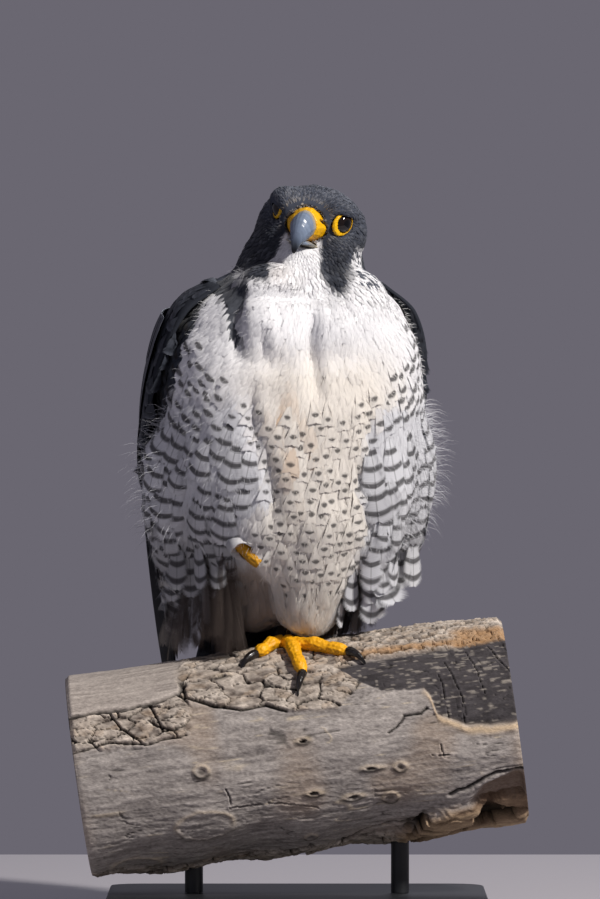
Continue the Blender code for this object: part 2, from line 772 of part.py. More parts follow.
def vane(points, across, outward_dirs, width, outline, camber=VANE_CAMBER):
    """A thin closed feather blade along a line, split into triangles alike on both faces."""
    rows = len(outline)
    corners = []
    for i, (share, wide) in enumerate(outline):
        half = width * wide / 2
        thick = VANE_ROOT_THICKNESS + (VANE_TIP_THICKNESS - VANE_ROOT_THICKNESS) * share
        for face in (0.5, -0.5):
            for x in (-1.0, 0.0, 1.0):
                rise = camber * (1 - abs(x)) + thick * face
                corners.append(points[i] + across[i] * half * x + outward_dirs[i] * rise)
    faces = []
    for i in range(rows - 1):
        here, there = i * 6, (i + 1) * 6
        for face in (0, 3):
            for k in (0, 1):
                a, b = here + face + k, here + face + k + 1
                c, d = there + face + k + 1, there + face + k
                faces += [(a, b, c), (a, c, d)]
        for k in (0, 2):
            faces += [(here + k, here + 3 + k, there + 3 + k), (here + k, there + 3 + k, there + k)]
    for end in (0, (rows - 1) * 6):
        for k in (0, 1):
            faces += [(end + k, end + k + 1, end + k + 4), (end + k, end + k + 4, end + k + 3)]
    mesh = bpy.data.meshes.new("vane")
    mesh.from_pydata([tuple(p) for p in corners], [], faces)
    return outward(mesh)


def wing_vane(side, root, tip, width, outline, shingle):
    """A vane over the wing from root to tip, each given as share, place across and lift."""
    points, across_dirs, normals = [], [], []
    places = [np.array(root) + (np.array(tip) - np.array(root)) * share for share, _ in outline]
    for i, (share, across, lift) in enumerate(places):
        point = wing_point(share, across, lift, side)
        before, after = places[max(i - 1, 0)], places[min(i + 1, len(places) - 1)]
        along = (wing_point(*after, side) - wing_point(*before, side)).normalized()
        ahead, behind = (wing_point(share, across + step, 0, side) for step in (0.02, -0.02))
        chord = (ahead - behind).normalized()
        normal = along.cross(chord).normalized() * (-side)
        if normal.dot(wing_point(share, across, 1.0, side) - wing_point(share, across, 0.0, side)) < 0:
            normal = -normal
        wide = (normal.cross(along)).normalized()
        if wide.dot(chord) < 0:
            wide = -wide
        tilt = shingle / width
        points.append(point)
        across_dirs.append((wide - normal * tilt).normalized())
        normals.append((normal + wide * tilt).normalized())
    return vane(points, across_dirs, normals, width, outline)


def make_wing(side, name):
    """A folded wing: its arm, and its vanes in tiers over one another."""
    random = np.random.default_rng(41)
    arm = object_of(name, wing_loft(side, np.linspace(0.0, ARM_END, 9), arm_lift, 0.0), body_matrix())
    pieces = [arm]
    for word, count, width, outline, root_share, tips, roots_across, tips_across, depth, lift in WING_TIERS:
        for k in range(count):
            u = k / (count - 1)
            change = 1 + VANE_VARIATION * random.uniform(-1, 1)
            root_across = roots_across[0] + (roots_across[1] - roots_across[0]) * u
            tip_across = tips_across[0] + (tips_across[1] - tips_across[0]) * u
            tip_share = tips[0] + (tips[1] - tips[0]) * u
            if k:
                tip_share = root_share + (tip_share - root_share) * change
            root = (root_share, root_across, -depth * wing_depth(root_across))
            tip = (tip_share, tip_across, lift)
            blade = wing_vane(side, root, tip, width * change, outline, SHINGLE_RISE)
            pieces.append(object_of(f"{name}_{word}", blade, body_matrix()))
    wing = fuse(name, pieces, "flight_feathers")
    return smooth_shaded(wing, math.radians(30.0))


def wing_room(side):
    """The space that the folded wing takes under the flank feathers, as a cutter."""
    shares = np.linspace(-0.02, 1.0, 12)
    mesh = wing_loft(side, shares, lambda share: WING_ROOM_LIFT, WING_ROOM_EDGE)
    room = object_of("wing_room", mesh, body_matrix())
    room.hide_render = True
    room.display_type = "WIRE"
    return room


def tail_frame():
    """Along, across and up directions of the tail."""
    along = (TAIL_TIP - TAIL_ROOT).normalized()
    across = Vector((1.0, 0.0, 0.0))
    across = (across - along * across.dot(along)).normalized()
    up = across.cross(along).normalized()
    if up.y < 0:
        up = -up
    return along, across, up


def tail_point(share, x, lift):
    """A point over the tail, by the share of its length, the distance from its middle and the height."""
    along, across, up = tail_frame()
    return TAIL_ROOT.lerp(TAIL_TIP, share) + across * x + up * lift


def rectrix(pair, side, random):
    """One tail feather: the middle pair lies on top, and each outer pair lower."""
    change = 1 + VANE_VARIATION * random.uniform(-1, 1)
    start = 0.012 * random.uniform(-1, 1)
    reach = 1.0 - RECTRIX_SHORTER * pair * pair + 0.01 * random.uniform(-1, 1)
    level = RECTRIX_DROP * (pair - 1 if pair == 0 and side > 0 else pair)
    roll = RECTRIX_ROLL * side * pair
    points, across_dirs, ups = [], [], []
    along, across, up = tail_frame()
    for share, wide in QUILL_OUTLINE:
        at = start + share * (reach - start)
        step = RECTRIX_STEP_ROOT + (RECTRIX_STEP_TIP - RECTRIX_STEP_ROOT) * max(at, 0.0) ** 0.8
        # The inner edges of the lower pairs keep clear of the middle line
        x = side * (RECTRIX_WIDTH * change * wide / 2 + 0.5 + step * (pair - 1)) if pair else side * 1.7
        opened = 0.25 + 0.75 * min(1.0, at * 4)
        points.append(tail_point(at, x, -level * opened))
        across_dirs.append((across - up * roll).normalized())
        ups.append((up + across * roll).normalized())
    return vane(points, across_dirs, ups, RECTRIX_WIDTH * change, QUILL_OUTLINE, RECTRIX_CAMBER)


def make_tail():
    """The closed tail: a pad at its root and six pairs of vanes, the middle pair on top."""
    random = np.random.default_rng(7)
    along, across, up = tail_frame()
    turn = Matrix((across, up, -along)).transposed().to_4x4()
    pad = ellipsoid(tail_point(0.05, 0.0, TAIL_PAD_LIFT), TAIL_PAD, turn, segments=16)
    pieces = [object_of("tail", pad, body_matrix())]
    for pair in range(TAIL_PAIRS):
        for side in (1, -1):
            pieces.append(object_of("rectrix", rectrix(pair, side, random), body_matrix()))
    tail = fuse("tail", pieces, "flight_feathers")
    return smooth_shaded(tail, math.radians(30.0))


def tail_room():
    """The space that the tail takes in the feathers of the vent, as a cutter."""
    rings = []
    for share, half in TAIL_ROOM:
        rings.append(
            [
                tail_point(share, -half, -TAIL_ROOM_UNDER),
                tail_point(share, half, -TAIL_ROOM_UNDER),
                tail_point(share, half, TAIL_ROOM_TOP * 0.4),
                tail_point(share, half * 0.5, TAIL_ROOM_TOP),
                tail_point(share, -half * 0.5, TAIL_ROOM_TOP),
                tail_point(share, -half, TAIL_ROOM_TOP * 0.4),
            ]
        )
    room = object_of("tail_room", loft(rings), body_matrix())
    room.hide_render = True
    room.display_type = "WIRE"
    return room


def make_room(nodes, room):
    """Cuts a room's space out of the nodes, and drops the cutter."""
    for node in nodes:
        use(node, "BOOLEAN", operation="DIFFERENCE", object=room, solver="MANIFOLD")
        keep_largest(node)
        smooth_shaded(node)
    bpy.data.objects.remove(room)


# Legs and feet


def tube(points, radii, sides=10, flat=1.0):
    """A closed round tube through points, with a radius at each."""
    rings = []
    for i, point in enumerate(points):
        ahead = points[min(i + 1, len(points) - 1)] - points[max(i - 1, 0)]
        along = ahead.normalized()
        across = along.cross(Vector((0, 0, 1)))
        if across.length < 1e-4:
            across = Vector((1, 0, 0))
        across.normalize()
        up = across.cross(along).normalized()
        rings.append(
            [
                point
                + across * radii[i] * math.cos(2 * math.pi * k / sides)
                + up * radii[i] * flat * math.sin(2 * math.pi * k / sides)
                for k in range(sides)
            ]
        )
    return loft(rings)


def claw_points(start, ahead, down, length, steps=7):
    """A claw's curved centre line, bending down from its root."""
    sweep = math.radians(95.0)
    radius = length / sweep
    points = []
    for i in range(steps):
        angle = sweep * i / (steps - 1)
        points.append(start + ahead * radius * math.sin(angle) + down * radius * (1 - math.cos(angle)))
    return points


def make_toe(toe):
    """One toe laid along the branch: its object, and where and how its claw starts."""
    name, along_0, round_0, along_1, round_1, claw_length, claw_turn = toe
    points, radii = [], []
    steps = 9
    for i in range(steps):
        share = i / (steps - 1)
        pads = 0.45 * math.cos(2 * math.pi * 2.5 * share)
        radius = TOE_RADIUS * (1.04 - 0.12 * share) + pads
        along = along_0 + (along_1 - along_0) * share
        around = round_0 + (round_1 - round_0) * share
        arch = 2.6 * math.sin(math.pi * min(1.0, share * 1.2)) * (1 - share)
        points.append(perch_point(along, around, PERCH_RADIUS + radius * 0.86 + arch))
        radii.append(radius if share < 0.99 else radius * 0.7)
    toe_object = object_of(name, tube(points, radii), slot="yellow_skin")
    ahead = (points[-1] - points[-3]).normalized()
    out = (points[-1] - perch_point(along_1, round_1, 0.0)).normalized()
    ahead.rotate(Quaternion(out, claw_turn))
    return toe_object, (points[-1], ahead, out, claw_length)


def make_claw(name, root, foot, perch):
    """A claw, curved down from the tip of its toe."""
    tip, ahead, out, length = root
    start = tip + ahead * 0.6 + out * 0.8
    rise = (ahead + out * 0.55).normalized()
    down = (-out + rise * rise.dot(out)).normalized()
    line = claw_points(start, rise, down, length)
    claw = object_of(name, tube(line, CLAW_RADII, sides=8), slot="claw")
    cut(claw, foot, perch)
    return smooth_shaded(claw)


def make_standing_foot(perch, leg):
    """The short bare shank and the foot on the branch, with its four claws."""
    shank = object_of(
        "shank",
        tube(
            [
                perch_point(0.0, 0.03, PERCH_RADIUS + 0.2),
                perch_point(0.0, 0.02, PERCH_RADIUS + 4.0),
                perch_point(0.0, 0.0, PERCH_RADIUS + 8.0),
                perch_point(0.0, -0.06, PERCH_RADIUS + 15.0),
                perch_point(0.0, -0.12, PERCH_RADIUS + 22.0),
            ],
            [6.0, FOOT_HUB_RADIUS, FOOT_HUB_RADIUS * 0.85, TARSUS_RADIUS, TARSUS_RADIUS],
            sides=14,
        ),
        slot="yellow_skin",
    )
    pieces, roots = [shank], []
    for toe in TOES:
        toe_object, root = make_toe(toe)
        pieces.append(toe_object)
        roots.append(root)
    foot = fuse("foot_left", pieces, "yellow_skin")
    cut(foot, perch)
    smooth_shaded(foot)
    cut(leg, foot)
    for number, root in enumerate(roots, 1):
        claw = make_claw(f"claw_left_{number}", root, foot, perch)
        cut(leg, claw)


def make_tucked_foot(torso, leg):
    """The right foot, drawn up and closed, where it shows through the belly feathers."""
    body = body_matrix()
    start = Vector((-33.0, -42.0, 48.0))
    line = [start + Vector((-4.2 * i, 2.4 * i, 4.6 * i)) for i in range(5)]
    fist = object_of("foot_right", tube(line, [4.0, 5.0, 4.6, 5.0, 3.6]), body, slot="yellow_skin")
    cut(torso, fist)
    cut(leg, fist)
    smooth_shaded(fist)


def main():
    """Builds every node."""
    for obj in list(bpy.data.objects):
        bpy.data.objects.remove(obj)
    perch = make_perch()
    make_stand(perch)
    head, neck, torso, leg = make_flesh(perch)
    eyes = {}
    for side, word in ((1, "left"), (-1, "right")):
        eyes[side] = make_eye(side, f"eye_{word}")
        cut(head, eyes[side])
    for side, word in ((1, "left"), (-1, "right")):
        make_eye_ring(side, f"eye_ring_{word}", head, eyes[side])
    make_bill(head, list(eyes.values()))
    for side, word in ((1, "left"), (-1, "right")):
        make_room([torso, neck], wing_room(side))
        make_wing(side, f"wing_{word}")
    make_room([torso], tail_room())
    make_tail()
    make_standing_foot(perch, leg)
    make_tucked_foot(torso, leg)


main()
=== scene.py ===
"""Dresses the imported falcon: its plumage, bare parts, eyes and claws, the branch it stands on and the stand."""

import logging
import math
from dataclasses import dataclass, fields, field
from enum import Enum

import bmesh
import bpy
import numpy as np
from mathutils import Matrix, Vector
from mathutils.bvhtree import BVHTree


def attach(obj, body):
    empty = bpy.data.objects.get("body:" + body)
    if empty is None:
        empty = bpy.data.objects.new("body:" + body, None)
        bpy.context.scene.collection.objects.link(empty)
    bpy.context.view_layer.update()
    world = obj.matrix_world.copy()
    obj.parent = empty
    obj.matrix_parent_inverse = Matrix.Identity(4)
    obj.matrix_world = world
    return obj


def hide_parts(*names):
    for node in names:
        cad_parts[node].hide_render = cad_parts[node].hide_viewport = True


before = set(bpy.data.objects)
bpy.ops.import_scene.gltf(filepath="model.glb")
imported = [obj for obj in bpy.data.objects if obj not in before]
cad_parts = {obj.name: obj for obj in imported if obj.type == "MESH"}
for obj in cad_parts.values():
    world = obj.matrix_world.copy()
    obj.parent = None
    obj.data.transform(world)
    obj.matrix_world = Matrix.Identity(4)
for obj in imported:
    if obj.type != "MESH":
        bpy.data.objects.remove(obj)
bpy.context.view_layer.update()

LOG = logging.getLogger("falcon")
MM = 0.001

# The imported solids' own sizes, in millimetres
PERCH_RADIUS = 67.0
PERCH_SLOPE = math.radians(8.0)
PERCH_AXIS_HEIGHT = 108.0
PERCH_LENGTH = 290.0
PERCH_TOP = PERCH_AXIS_HEIGHT + PERCH_RADIUS / math.cos(PERCH_SLOPE)
BODY_FRAME = Matrix.Translation((-5.0, 0.0, PERCH_TOP + 5.0)) @ Matrix.Rotation(math.radians(19.0), 4, "Z")
HEAD_FRAME = (
    Matrix.Translation((12.3, -20.0, PERCH_TOP + 279.5))
    @ Matrix.Rotation(math.radians(-13.0), 4, "Z")
    @ Matrix.Rotation(math.radians(14.0), 4, "Y")
)
PERCH_FRAME = Matrix.Translation((0.0, 0.0, PERCH_AXIS_HEIGHT)) @ Matrix.Rotation(-PERCH_SLOPE, 4, "Y")

FLESH = ("head", "neck", "torso", "leg_left")


class Slot(Enum):
    """The record's material slots."""

    SLATE = "slate_plumage"
    WHITE = "white_plumage"
    FLIGHT = "flight_feathers"
    HORN = "horn"
    YELLOW = "yellow_skin"
    EYE = "eye"
    CLAW = "claw"
    BARK = "bark"
    STEEL = "stand_steel"


# Numbers and noise


def linear(code: str) -> np.ndarray:
    """A colour given as an sRGB hex code, as linear red, green and blue."""
    channels = np.array([int(code[i : i + 2], 16) / 255 for i in (1, 3, 5)])
    return np.where(channels <= 0.04045, channels / 12.92, ((channels + 0.055) / 1.055) ** 2.4)


def rgba(code: str) -> tuple[float, ...]:
    """A colour given as an sRGB hex code, as a shader's four linear numbers."""
    return (*linear(code), 1.0)


def unit(vectors: np.ndarray) -> np.ndarray:
    """The vectors at length 1."""
    return vectors / np.maximum(np.linalg.norm(vectors, axis=-1, keepdims=True), 1e-9)


def step(low: float, high: float, values: np.ndarray) -> np.ndarray:
    """A smooth rise from 0 at low to 1 at high, or a fall where low is the larger."""
    share = np.clip((values - low) / (high - low), 0.0, 1.0)
    return share * share * (3 - 2 * share)


def local(points: np.ndarray, place: Matrix) -> np.ndarray:
    """Points in millimetres, read in a turned and shifted frame."""
    turn = np.array(place.to_3x3())
    return (points - np.array(place.translation)) @ turn


def outer(points: np.ndarray, place: Matrix) -> np.ndarray:
    """Points of a turned and shifted frame, in the row frame."""
    return points @ np.array(place.to_3x3()).T + np.array(place.translation)


def blend(colours: np.ndarray, code: str, share: np.ndarray) -> np.ndarray:
    """Colours mixed with one more by a share for each."""
    return colours * (1 - share[:, None]) + linear(code) * share[:, None]


def round_breast(body: np.ndarray) -> np.ndarray:
    """Degrees round the breast from its middle, growing to the bird's left."""
    return np.degrees(np.arctan2(body[:, 0], -body[:, 1]))


def blob(points: np.ndarray, centre: tuple[float, ...], radii: tuple[float, ...]) -> np.ndarray:
    """1 at a centre, falling off softly over the radii."""
    return np.exp(-(((points - centre) / radii) ** 2).sum(axis=1))


def hashed(cells: np.ndarray, seed: int) -> np.ndarray:
    """A number from 0 to 1 for each whole-numbered cell, alike in every run."""
    primes = np.array([374761393, 668265263, 1440662683], dtype=np.int64)[: cells.shape[1]]
    mixed = cells.astype(np.int64) @ primes + seed * 974634777
    mixed = (mixed ^ (mixed >> 13)) * 1274126177
    mixed = mixed ^ (mixed >> 16)
    return (mixed & 0xFFFFFF) / float(0xFFFFFF)


def noise(points: np.ndarray, size: float, seed: int = 0) -> np.ndarray:
    """Smooth noise from -1 to 1.

    Args:
        points: Places, one row each.
        size: Distance over which it changes.
        seed: Which noise it is.

    Returns:
        One number for each place.
    """
    scaled = points / size
    base = np.floor(scaled)
    part = scaled - base
    part = part * part * (3 - 2 * part)
    total = np.zeros(len(points))
    for corner in range(2 ** points.shape[1]):
        offset = np.array([(corner >> axis) & 1 for axis in range(points.shape[1])])
        weight = np.prod(np.where(offset, part, 1 - part), axis=1)
        total += weight * hashed(base + offset, seed)
    return total * 2 - 1


def layered(points: np.ndarray, size: float, octaves: int = 4, seed: int = 0) -> np.ndarray:
    """Noise of several sizes, each half as large and half as strong as the one before."""
    return sum(noise(points, size / 2**k, seed + k) / 2**k for k in range(octaves))


def cells(points: np.ndarray, seed: int, jitter: float = 0.85) -> tuple[np.ndarray, np.ndarray]:
    """Cells with uneven straight borders, such as bark plates make.

    Args:
        points: Places in the plane, already divided by the cell's size.
        seed: Which pattern it is.
        jitter: How far the cells leave a square grid.

    Returns:
        Distance to the nearest border, and a number from 0 to 1 for each cell.
    """
    base = np.floor(points)
    best = np.full(len(points), 9.0)
    second = np.full(len(points), 9.0)
    value = np.zeros(len(points))
    for i in (-1, 0, 1):
        for j in (-1, 0, 1):
            cell = base + (i, j)
            shift = np.stack([hashed(cell, seed), hashed(cell, seed + 17)], axis=1) - 0.5
            distance = np.linalg.norm(points - cell - 0.5 - shift * jitter, axis=1)
            nearer = distance < best
            second = np.where(nearer, best, np.minimum(second, distance))
            value = np.where(nearer, hashed(cell, seed + 31), value)
            best = np.where(nearer, distance, best)
    return second - best, value


# Meshes


def make_object(name: str, points: np.ndarray, faces: np.ndarray, finish: bpy.types.Material) -> bpy.types.Object:
    """A scene object from points in millimetres.

    Args:
        name: The piece's name.
        points: One row for each vertex.
        faces: One row of vertex numbers for each face, all with as many corners.
        finish: The piece's material.

    Returns:
        The new object, at the origin.
    """
    mesh = bpy.data.meshes.new(name)
    mesh.vertices.add(len(points))
    mesh.vertices.foreach_set("co", (points * MM).astype(np.float32).ravel())
    corners = faces.shape[1]
    mesh.loops.add(faces.size)
    mesh.loops.foreach_set("vertex_index", faces.astype(np.int32).ravel())
    mesh.polygons.add(len(faces))
    mesh.polygons.foreach_set("loop_start", np.arange(0, faces.size, corners, dtype=np.int32))
    mesh.update(calc_edges=True)
    mesh.validate()
    mesh.materials.append(finish)
    made = bpy.data.objects.new(name, mesh)
    bpy.context.scene.collection.objects.link(made)
    return made


def point_values(obj: bpy.types.Object, name: str, kind: str, values: np.ndarray) -> None:
    """Stores one value, vector or colour for each vertex."""
    words = {"FLOAT": "value", "FLOAT_VECTOR": "vector", "FLOAT_COLOR": "color"}
    made = obj.data.attributes.new(name, kind, "POINT")
    made.data.foreach_set(words[kind], values.astype(np.float32).ravel())


def corner_map(obj: bpy.types.Object, name: str, values: np.ndarray) -> None:
    """Stores a UV map from one pair of numbers for each vertex."""
    made = obj.data.uv_layers.new(name=name)
    order = np.empty(len(obj.data.loops), dtype=np.int32)
    obj.data.loops.foreach_get("vertex_index", order)
    made.data.foreach_set("uv", values[order].astype(np.float32).ravel())


def vertex_table(obj: bpy.types.Object) -> np.ndarray:
    """The object's vertices in millimetres."""
    table = np.empty(len(obj.data.vertices) * 3, dtype=np.float32)
    obj.data.vertices.foreach_get("co", table)
    return table.reshape(-1, 3).astype(float) / MM


def normal_table(obj: bpy.types.Object) -> np.ndarray:
    """The object's vertex normals."""
    table = np.empty(len(obj.data.vertices) * 3, dtype=np.float32)
    obj.data.vertex_normals.foreach_get("vector", table)
    return table.reshape(-1, 3).astype(float)


def set_vertices(obj: bpy.types.Object, points: np.ndarray) -> None:
    """Moves the object's vertices to points in millimetres."""
    obj.data.vertices.foreach_set("co", (points * MM).astype(np.float32).ravel())
    obj.data.update()


def choose(*objs: bpy.types.Object) -> None:
    """Selects these objects alone, the first one active."""
    bpy.ops.object.select_all(action="DESELECT")
    for obj in objs:
        obj.select_set(True)
    bpy.context.view_layer.objects.active = objs[0]


def apply_modifier(obj: bpy.types.Object, kind: str, **settings) -> None:
    """Adds a modifier with these settings and applies it."""
    choose(obj)
    modifier = obj.modifiers.new(kind.lower(), kind)
    for key, value in settings.items():
        setattr(modifier, key, value)
    bpy.ops.object.modifier_apply(modifier=modifier.name)


def face_outward(obj: bpy.types.Object) -> None:
    """Turns the faces of a closed piece outward and shades them smooth."""
    choose(obj)
    bpy.ops.object.mode_set(mode="EDIT")
    bpy.ops.mesh.select_all(action="SELECT")
    bpy.ops.mesh.normals_make_consistent(inside=False)
    bpy.ops.object.mode_set(mode="OBJECT")
    bpy.ops.object.shade_smooth()


def refined(name: str, nodes: tuple[str, ...], voxel: float, smooth: int) -> bpy.types.Object:
    """A finer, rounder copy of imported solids, which it then stands for.

    Args:
        name: The new piece's name.
        nodes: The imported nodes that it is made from.
        voxel: Size of its mesh in millimetres.
        smooth: How many times it is smoothed.

    Returns:
        The new piece.
    """
    choose(*[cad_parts[node] for node in nodes])
    bpy.ops.object.duplicate()
    if len(nodes) > 1:
        bpy.ops.object.join()
    made = bpy.context.view_layer.objects.active
    made.name = name
    made.data.name = name
    made.parent = None
    for key in list(made.keys()):
        del made[key]
    made.data.materials.clear()
    apply_modifier(made, "WELD", merge_threshold=0.01 * MM)
    apply_modifier(made, "REMESH", mode="VOXEL", voxel_size=voxel * MM)
    if smooth:
        apply_modifier(made, "SMOOTH", factor=0.5, iterations=smooth)
    choose(made)
    bpy.ops.object.shade_smooth()
    return made


def declare(obj: bpy.types.Object, slot: Slot, *nodes: str) -> None:
    """Puts the piece on the body and hides the nodes that it stands for."""
    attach(obj, "root")
    if nodes:
        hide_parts(*nodes)
    LOG.info("%s: %d faces", obj.name, len(obj.data.polygons))


# Finishes


def add(tree: bpy.types.NodeTree, kind: str, *inputs, out: int = 0, **settings) -> bpy.types.NodeSocket:
    """Adds a node.

    Args:
        tree: The node tree.
        kind: The node's type, without its first words.
        *inputs: A socket, number or colour for each input in turn, or None to leave it.
        out: Which output to give back.
        **settings: The node's own settings.

    Returns:
        The chosen output socket.
    """
    node = tree.nodes.new("ShaderNode" + kind)
    for key, value in settings.items():
        setattr(node, key, value)
    for socket, value in zip(node.inputs, inputs):
        if isinstance(value, bpy.types.NodeSocket):
            tree.links.new(value, socket)
        elif value is not None:
            socket.default_value = value
    return node.outputs[out]


@dataclass(frozen=True)
class Finish:
    """A named Principled material; subclasses add what varies over the surface."""

    name: str
    roughness: float = 0.7
    specular: float = 0.3
    sheen: float = 0.0
    coat: float = 0.0

    def colour(self, tree: bpy.types.NodeTree) -> bpy.types.NodeSocket | None:
        """The socket that gives the colour."""
        return None

    def bump(self, tree: bpy.types.NodeTree) -> bpy.types.NodeSocket | None:
        """The socket that gives the shading normal."""
        return None

    def build(self) -> bpy.types.Material:
        """The material, made once."""
        found = bpy.data.materials.get(self.name)
        if found:
            return found
        made = bpy.data.materials.new(self.name)
        made.use_nodes = True
        tree = made.node_tree
        shader = tree.nodes["Principled BSDF"]
        shader.inputs["Roughness"].default_value = self.roughness
        shader.inputs["Specular IOR Level"].default_value = self.specular
        shader.inputs["Sheen Weight"].default_value = self.sheen
        shader.inputs["Coat Weight"].default_value = self.coat
        colour = self.colour(tree)
        if colour is not None:
            tree.links.new(colour, shader.inputs["Base Color"])
        bump = self.bump(tree)
        if bump is not None:
            tree.links.new(bump, shader.inputs["Normal"])
        return made


@dataclass(frozen=True)
class PlumeFinish(Finish):
    """Feather vanes: each one's own tint, its dark marks across it, a fine shaft and the grain of its barbs."""

    mark: str = "#2a2729"
    strength: float = 0.84
    shaft: float = 0.0
    rim: float = 0.0

    def colour(self, tree: bpy.types.NodeTree) -> bpy.types.NodeSocket:
        """Tint, barb grain, pale rim, cross marks and shaft line."""
        tint = add(tree, "Attribute", attribute_name="tint")
        place = add(tree, "SeparateXYZ", add(tree, "UVMap", uv_map="Feather"))
        u = add(tree, "Math", place, 2.0, -1.0, operation="MULTIPLY_ADD")
        v = place.node.outputs[1]
        size = add(tree, "SeparateXYZ", add(tree, "Attribute", attribute_name="marks", out=1))
        length, spacing, count = size, size.node.outputs[1], size.node.outputs[2]
        form = add(tree, "SeparateXYZ", add(tree, "Attribute", attribute_name="mark_form", out=1))
        wide, half, sway = form, form.node.outputs[1], form.node.outputs[2]
        # Millimetres up from the tip, less towards the edges, so that a mark bends with the tip
        square = add(tree, "Math", u, u, operation="MULTIPLY")
        rise = add(tree, "Math", add(tree, "Math", 1.0, v, operation="SUBTRACT"), length, operation="MULTIPLY")
        bent = add(tree, "Math", square, add(tree, "Math", sway, -1.0, operation="MULTIPLY"), rise, operation="MULTIPLY_ADD")
        turns = add(tree, "Math", bent, spacing, operation="DIVIDE")
        wave = add(tree, "Math", add(tree, "Math", turns, operation="FRACT"), 0.5, operation="SUBTRACT")
        away = add(tree, "Math", add(tree, "Math", wave, operation="ABSOLUTE"), spacing, operation="MULTIPLY")
        # The mark thins towards its ends
        reach = add(tree, "Math", add(tree, "Math", u, operation="ABSOLUTE"), wide, operation="DIVIDE")
        lens = add(tree, "Math", 1.0, add(tree, "Math", reach, 2.0, operation="POWER"), operation="SUBTRACT")
        thick = add(tree, "Math", half, add(tree, "Math", lens, 0.0, operation="MAXIMUM"), operation="MULTIPLY")
        slant = add(tree, "Math", add(tree, "Math", u, operation="ABSOLUTE"), -3.0, rise, operation="MULTIPLY_ADD")
        own = add(tree, "CombineXYZ", slant, add(tree, "Math", length, 40.0, operation="MULTIPLY"), 0.0)
        grain = add(tree, "TexNoise", own, None, 1.9, 1.0)
        fray = add(tree, "Math", grain, 2.6, -1.3, operation="MULTIPLY_ADD")
        edge = add(tree, "Math", add(tree, "Math", thick, fray, operation="ADD"), away, operation="SUBTRACT")
        dark = add(tree, "MapRange", edge, -1.0, 1.0, 0.0, 1.0, interpolation_type="SMOOTHSTEP")
        seen = add(tree, "Math", lens, 0.02, operation="GREATER_THAN")
        inside = add(tree, "Math", turns, count, operation="LESS_THAN")
        past_tip = add(tree, "Math", turns, 0.0, operation="GREATER_THAN")
        mask = add(tree, "Math", add(tree, "Math", inside, past_tip, operation="MULTIPLY"), seen, operation="MULTIPLY")
        dark = add(tree, "Math", dark, mask, operation="MULTIPLY")
        # Barbs: fine lighter and darker lines that slant from the shaft to the edge
        lines = add(tree, "Math", add(tree, "Math", slant, 5.5, operation="MULTIPLY"), operation="SINE")
        lines = add(tree, "Math", lines, 0.07, 0.96, operation="MULTIPLY_ADD")
        base = add(tree, "VectorMath", tint, lines, operation="MULTIPLY")
        if self.rim:
            side = add(tree, "MapRange", add(tree, "Math", u, operation="ABSOLUTE"), 0.72, 0.95, 0.0, 1.0)
            tip = add(tree, "MapRange", rise, 2.4, 0.6, 0.0, 1.0)
            rim = add(tree, "Math", add(tree, "Math", side, tip, operation="MAXIMUM"), self.rim, operation="MULTIPLY")
            pale = add(tree, "VectorMath", base, (3.1, 3.0, 2.8), operation="MULTIPLY")
            base = add(tree, "Mix", rim, None, None, None, None, None, base, pale, out=2, data_type="RGBA")
        if self.shaft:
            line = add(tree, "MapRange", add(tree, "Math", u, operation="ABSOLUTE"), 0.055, 0.02, 0.0, self.shaft)
            base = add(tree, "Mix", line, None, None, None, None, None, base, rgba(self.mark), out=2, data_type="RGBA")
        dark = add(tree, "Math", dark, self.strength, operation="MULTIPLY")
        return add(tree, "Mix", dark, None, None, None, None, None, base, rgba(self.mark), out=2, data_type="RGBA")


@dataclass(frozen=True)
class TintFinish(Finish):
    """A surface coloured by its own vertices, with fine grain."""

    grain: float = 0.12
    grain_scale: float = 700.0
    relief: float = 0.0
    relief_scale: float = 500.0

    def colour(self, tree: bpy.types.NodeTree) -> bpy.types.NodeSocket:
        """Vertex tint with grain."""
        tint = add(tree, "Attribute", attribute_name="tint")
        spots = add(tree, "TexNoise", add(tree, "TexCoord", out=3), None, self.grain_scale, 3.0)
        factor = add(tree, "Math", spots, 2 * self.grain, 1 - self.grain, operation="MULTIPLY_ADD")
        return add(tree, "VectorMath", tint, factor, operation="MULTIPLY")

    def bump(self, tree: bpy.types.NodeTree) -> bpy.types.NodeSocket | None:
        """Fine relief, if any."""
        if not self.relief:
            return None
        spots = add(tree, "TexNoise", add(tree, "TexCoord", out=3), None, self.relief_scale, 4.0)
        return add(tree, "Bump", self.relief, 0.4 * MM, None, spots)


@dataclass(frozen=True)
class ScaleFinish(TintFinish):
    """Bare skin with small raised scales."""

    def bump(self, tree: bpy.types.NodeTree) -> bpy.types.NodeSocket:
        """Rounded scales from a cell pattern."""
        scales = add(tree, "TexVoronoi", add(tree, "TexCoord", out=3), None, self.relief_scale)
        return add(tree, "Bump", self.relief, 0.5 * MM, None, add(tree, "Math", 1.0, scales, operation="SUBTRACT"))


